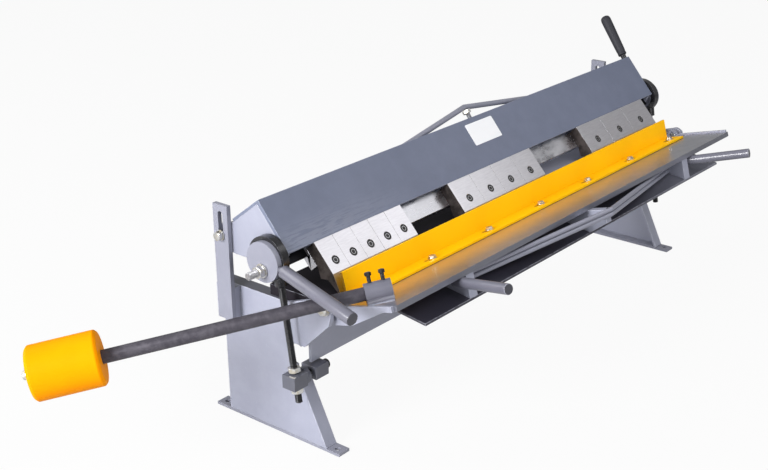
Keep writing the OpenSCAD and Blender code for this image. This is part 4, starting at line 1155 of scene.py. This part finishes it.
def apronLines(welds):
    pairs = []
    gussets = [side * welds["gusset"] + half for side in (-1, 1)
               for half in (-welds["gussetHalf"], welds["gussetHalf"])]
    seams = [(x, welds["gussetTo"]) for x in gussets]
    seams += [(x, welds["strutTo"]) for x in (-welds["strutHalf"], welds["strutHalf"])]
    for x, far in seams:
        pairs.append([apronSpot(x, forward, welds["height"]) for forward in (welds["from"], far)])
    along = Vector((math.cos(leverTurn), math.sin(leverTurn)))      # the sleeve's foot, in the plate
    across = Vector((-along.y, along.x))
    for half in (-welds["sleeveHalf"], welds["sleeveHalf"]):
        ends = [Vector(welds["sleeve"]) + along * far + across * half
                for far in (welds["sleeveFrom"], welds["sleeveTo"])]
        pairs.append([apronSpot(end.x, end.y, welds["sleeveHeight"]) for end in ends])
    return pairs


def frameLines(welds):
    pairs = []
    for side in (-1, 1):
        foot = side * welds["stand"]
        pairs += [[(foot, y, welds["footTop"]) for y in run] for run in welds["runs"]]
        for y, low, high in welds["uprights"]:
            pairs.append([(side * welds["outer"], y, z) for z in (low, high)])
    return pairs


for body, pairs, bead in (("apron", apronLines(apronWelds), apronWelds["bead"]),
                          ("frame", frameLines(frameWelds), frameWelds["bead"])):
    spots = [(Vector(end), Vector((0, 0, 1))) for pair in pairs for end in pair]
    edges = [(2 * number, 2 * number + 1) for number in range(len(pairs))]
    grow(body + "Welds", "weld", body, "weld", spots,
         {"Bead": bead, "Spacing": bead * weldLook["spacing"]}, edges=edges)
print("welds laid")


# blank label

label = {
    # metres: across the beam, and down its sloping front from the ridge
    "left": -0.047, "right": 0.051, "top": 0.0125, "bottom": 0.0635, "thick": 0.0004,
    "corner": 0.003, "steps": 4,
    "ridge": (0, 0.005, 0.487), "slopeFoot": (0, -0.069, 0.3995),
}


def labelMesh():
    # a thin plate with rounded corners, lying on the beam's sloping front
    ridge = Vector(label["ridge"])
    slope = (Vector(label["slopeFoot"]) - ridge).normalized()
    normal = Vector((0, slope.z, -slope.y))
    corner = label["corner"]
    left = label["left"] + corner
    right = label["right"] - corner
    top = label["top"] + corner
    bottom = label["bottom"] - corner
    outline = []
    for x, down, start in ((right, top, -90), (right, bottom, 0), (left, bottom, 90), (left, top, 180)):
        for step in range(label["steps"] + 1):
            turn = math.radians(start + step * 90 / label["steps"])
            outline.append((x + corner * math.cos(turn), down + corner * math.sin(turn)))
    body = bmesh.new()
    base = [body.verts.new(ridge + Vector((x, 0, 0)) + slope * down) for x, down in outline]
    face = body.faces.new(base)
    grown = bmesh.ops.extrude_face_region(body, geom=[face])
    for part in grown["geom"]:
        if isinstance(part, bmesh.types.BMVert):
            part.co += normal * label["thick"]
    bmesh.ops.recalc_face_normals(body, faces=body.faces)
    return meshFrom(body, "label")


linkPiece("blankLabel", labelMesh(), "beam", "label")
print("label laid")


# light and floor

lamps = {
    "key": {"place": (-3.8, 0.3, 1.6), "size": 1.8, "power": 210},
    "shine": {"place": (0.78, -0.91, 1.39), "size": 0.85, "power": 3.0},
    "front": {"place": (-1.2, -3.0, 3.6), "size": 2.2, "power": 70},
    "fill": {"place": (-1.0, -4.5, 0.9), "size": 2.5, "power": 60},
    "top": {"place": (-0.4, 1.2, 3.6), "size": 3.0, "power": 10},
    "rear": {"place": (-1.8, 3.8, 2.6), "size": 3.0, "power": 60},
}
studio = {
    "lampsLookAt": (0, 0, 0.3),
    "skyStrength": 0.26, "glossExtra": 0.1,
    "floorTone": 0.5, "floorRoughness": 0.9, "floorGlow": 0.93,
    "floorReach": 30, "floorHeight": -0.0002,       # just under the feet
}


def softLamp(name, place, size, power):
    lamp = bpy.data.lights.new(name, "AREA")
    lamp.shape = "DISK"
    lamp.size = size
    lamp.energy = power
    holder = newObject(name, lamp)
    away = Vector(place) - Vector(studio["lampsLookAt"])
    holder.location = place
    holder.rotation_euler = away.to_track_quat("Z", "Y").to_euler()
    holder.visible_camera = False


def paleSky():
    # white to the camera, dimmer as a light
    strength = studio["skyStrength"]
    world = bpy.data.worlds.new("studioSky")
    bpy.context.scene.world = world
    world.use_nodes = True
    tree = world.node_tree
    rays = tree.nodes.new("ShaderNodeLightPath")
    seen = Flow(tree, rays.outputs["Is Camera Ray"])
    glossy = Flow(tree, rays.outputs["Is Glossy Ray"])
    backdrop = tree.nodes["Background"]
    backdrop.inputs["Color"].default_value = (1, 1, 1, 1)
    level = seen * (1 - strength) + glossy * studio["glossExtra"] + strength
    tree.links.new(level.socket, backdrop.inputs["Strength"])


def paleFloor():
    # a plain floor that glows to the camera and still shows the shadow
    tone = studio["floorTone"]
    reach = studio["floorReach"]
    mesh = bpy.data.meshes.new("floor")
    mesh.from_pydata([(-reach, -reach, 0), (reach, -reach, 0), (reach, reach, 0), (-reach, reach, 0)],
                     [], [(0, 1, 2, 3)])
    floor = newObject("floor", mesh)
    floor.location.z = studio["floorHeight"]
    material = bpy.data.materials.new("paleFloor")
    material.use_nodes = True
    tree = material.node_tree
    shader = tree.nodes["Principled BSDF"]
    shader.inputs["Base Color"].default_value = (tone, tone, tone, 1)
    shader.inputs["Roughness"].default_value = studio["floorRoughness"]
    glow = tree.nodes.new("ShaderNodeEmission")
    glow.inputs["Color"].default_value = (1, 1, 1, 1)
    rays = tree.nodes.new("ShaderNodeLightPath")
    blended = tree.nodes.new("ShaderNodeMixShader")
    share = Flow(tree, rays.outputs["Is Camera Ray"]) * studio["floorGlow"]
    for slot, socket in enumerate((share.socket, shader.outputs[0], glow.outputs[0])):
        tree.links.new(socket, blended.inputs[slot])
    tree.links.new(blended.outputs[0], tree.nodes["Material Output"].inputs["Surface"])
    mesh.materials.append(material)


for lampName, setting in lamps.items():
    softLamp(lampName + "Lamp", **setting)
paleSky()
paleFloor()
bpy.context.scene.view_settings.view_transform = "Standard"
print("studio lit")
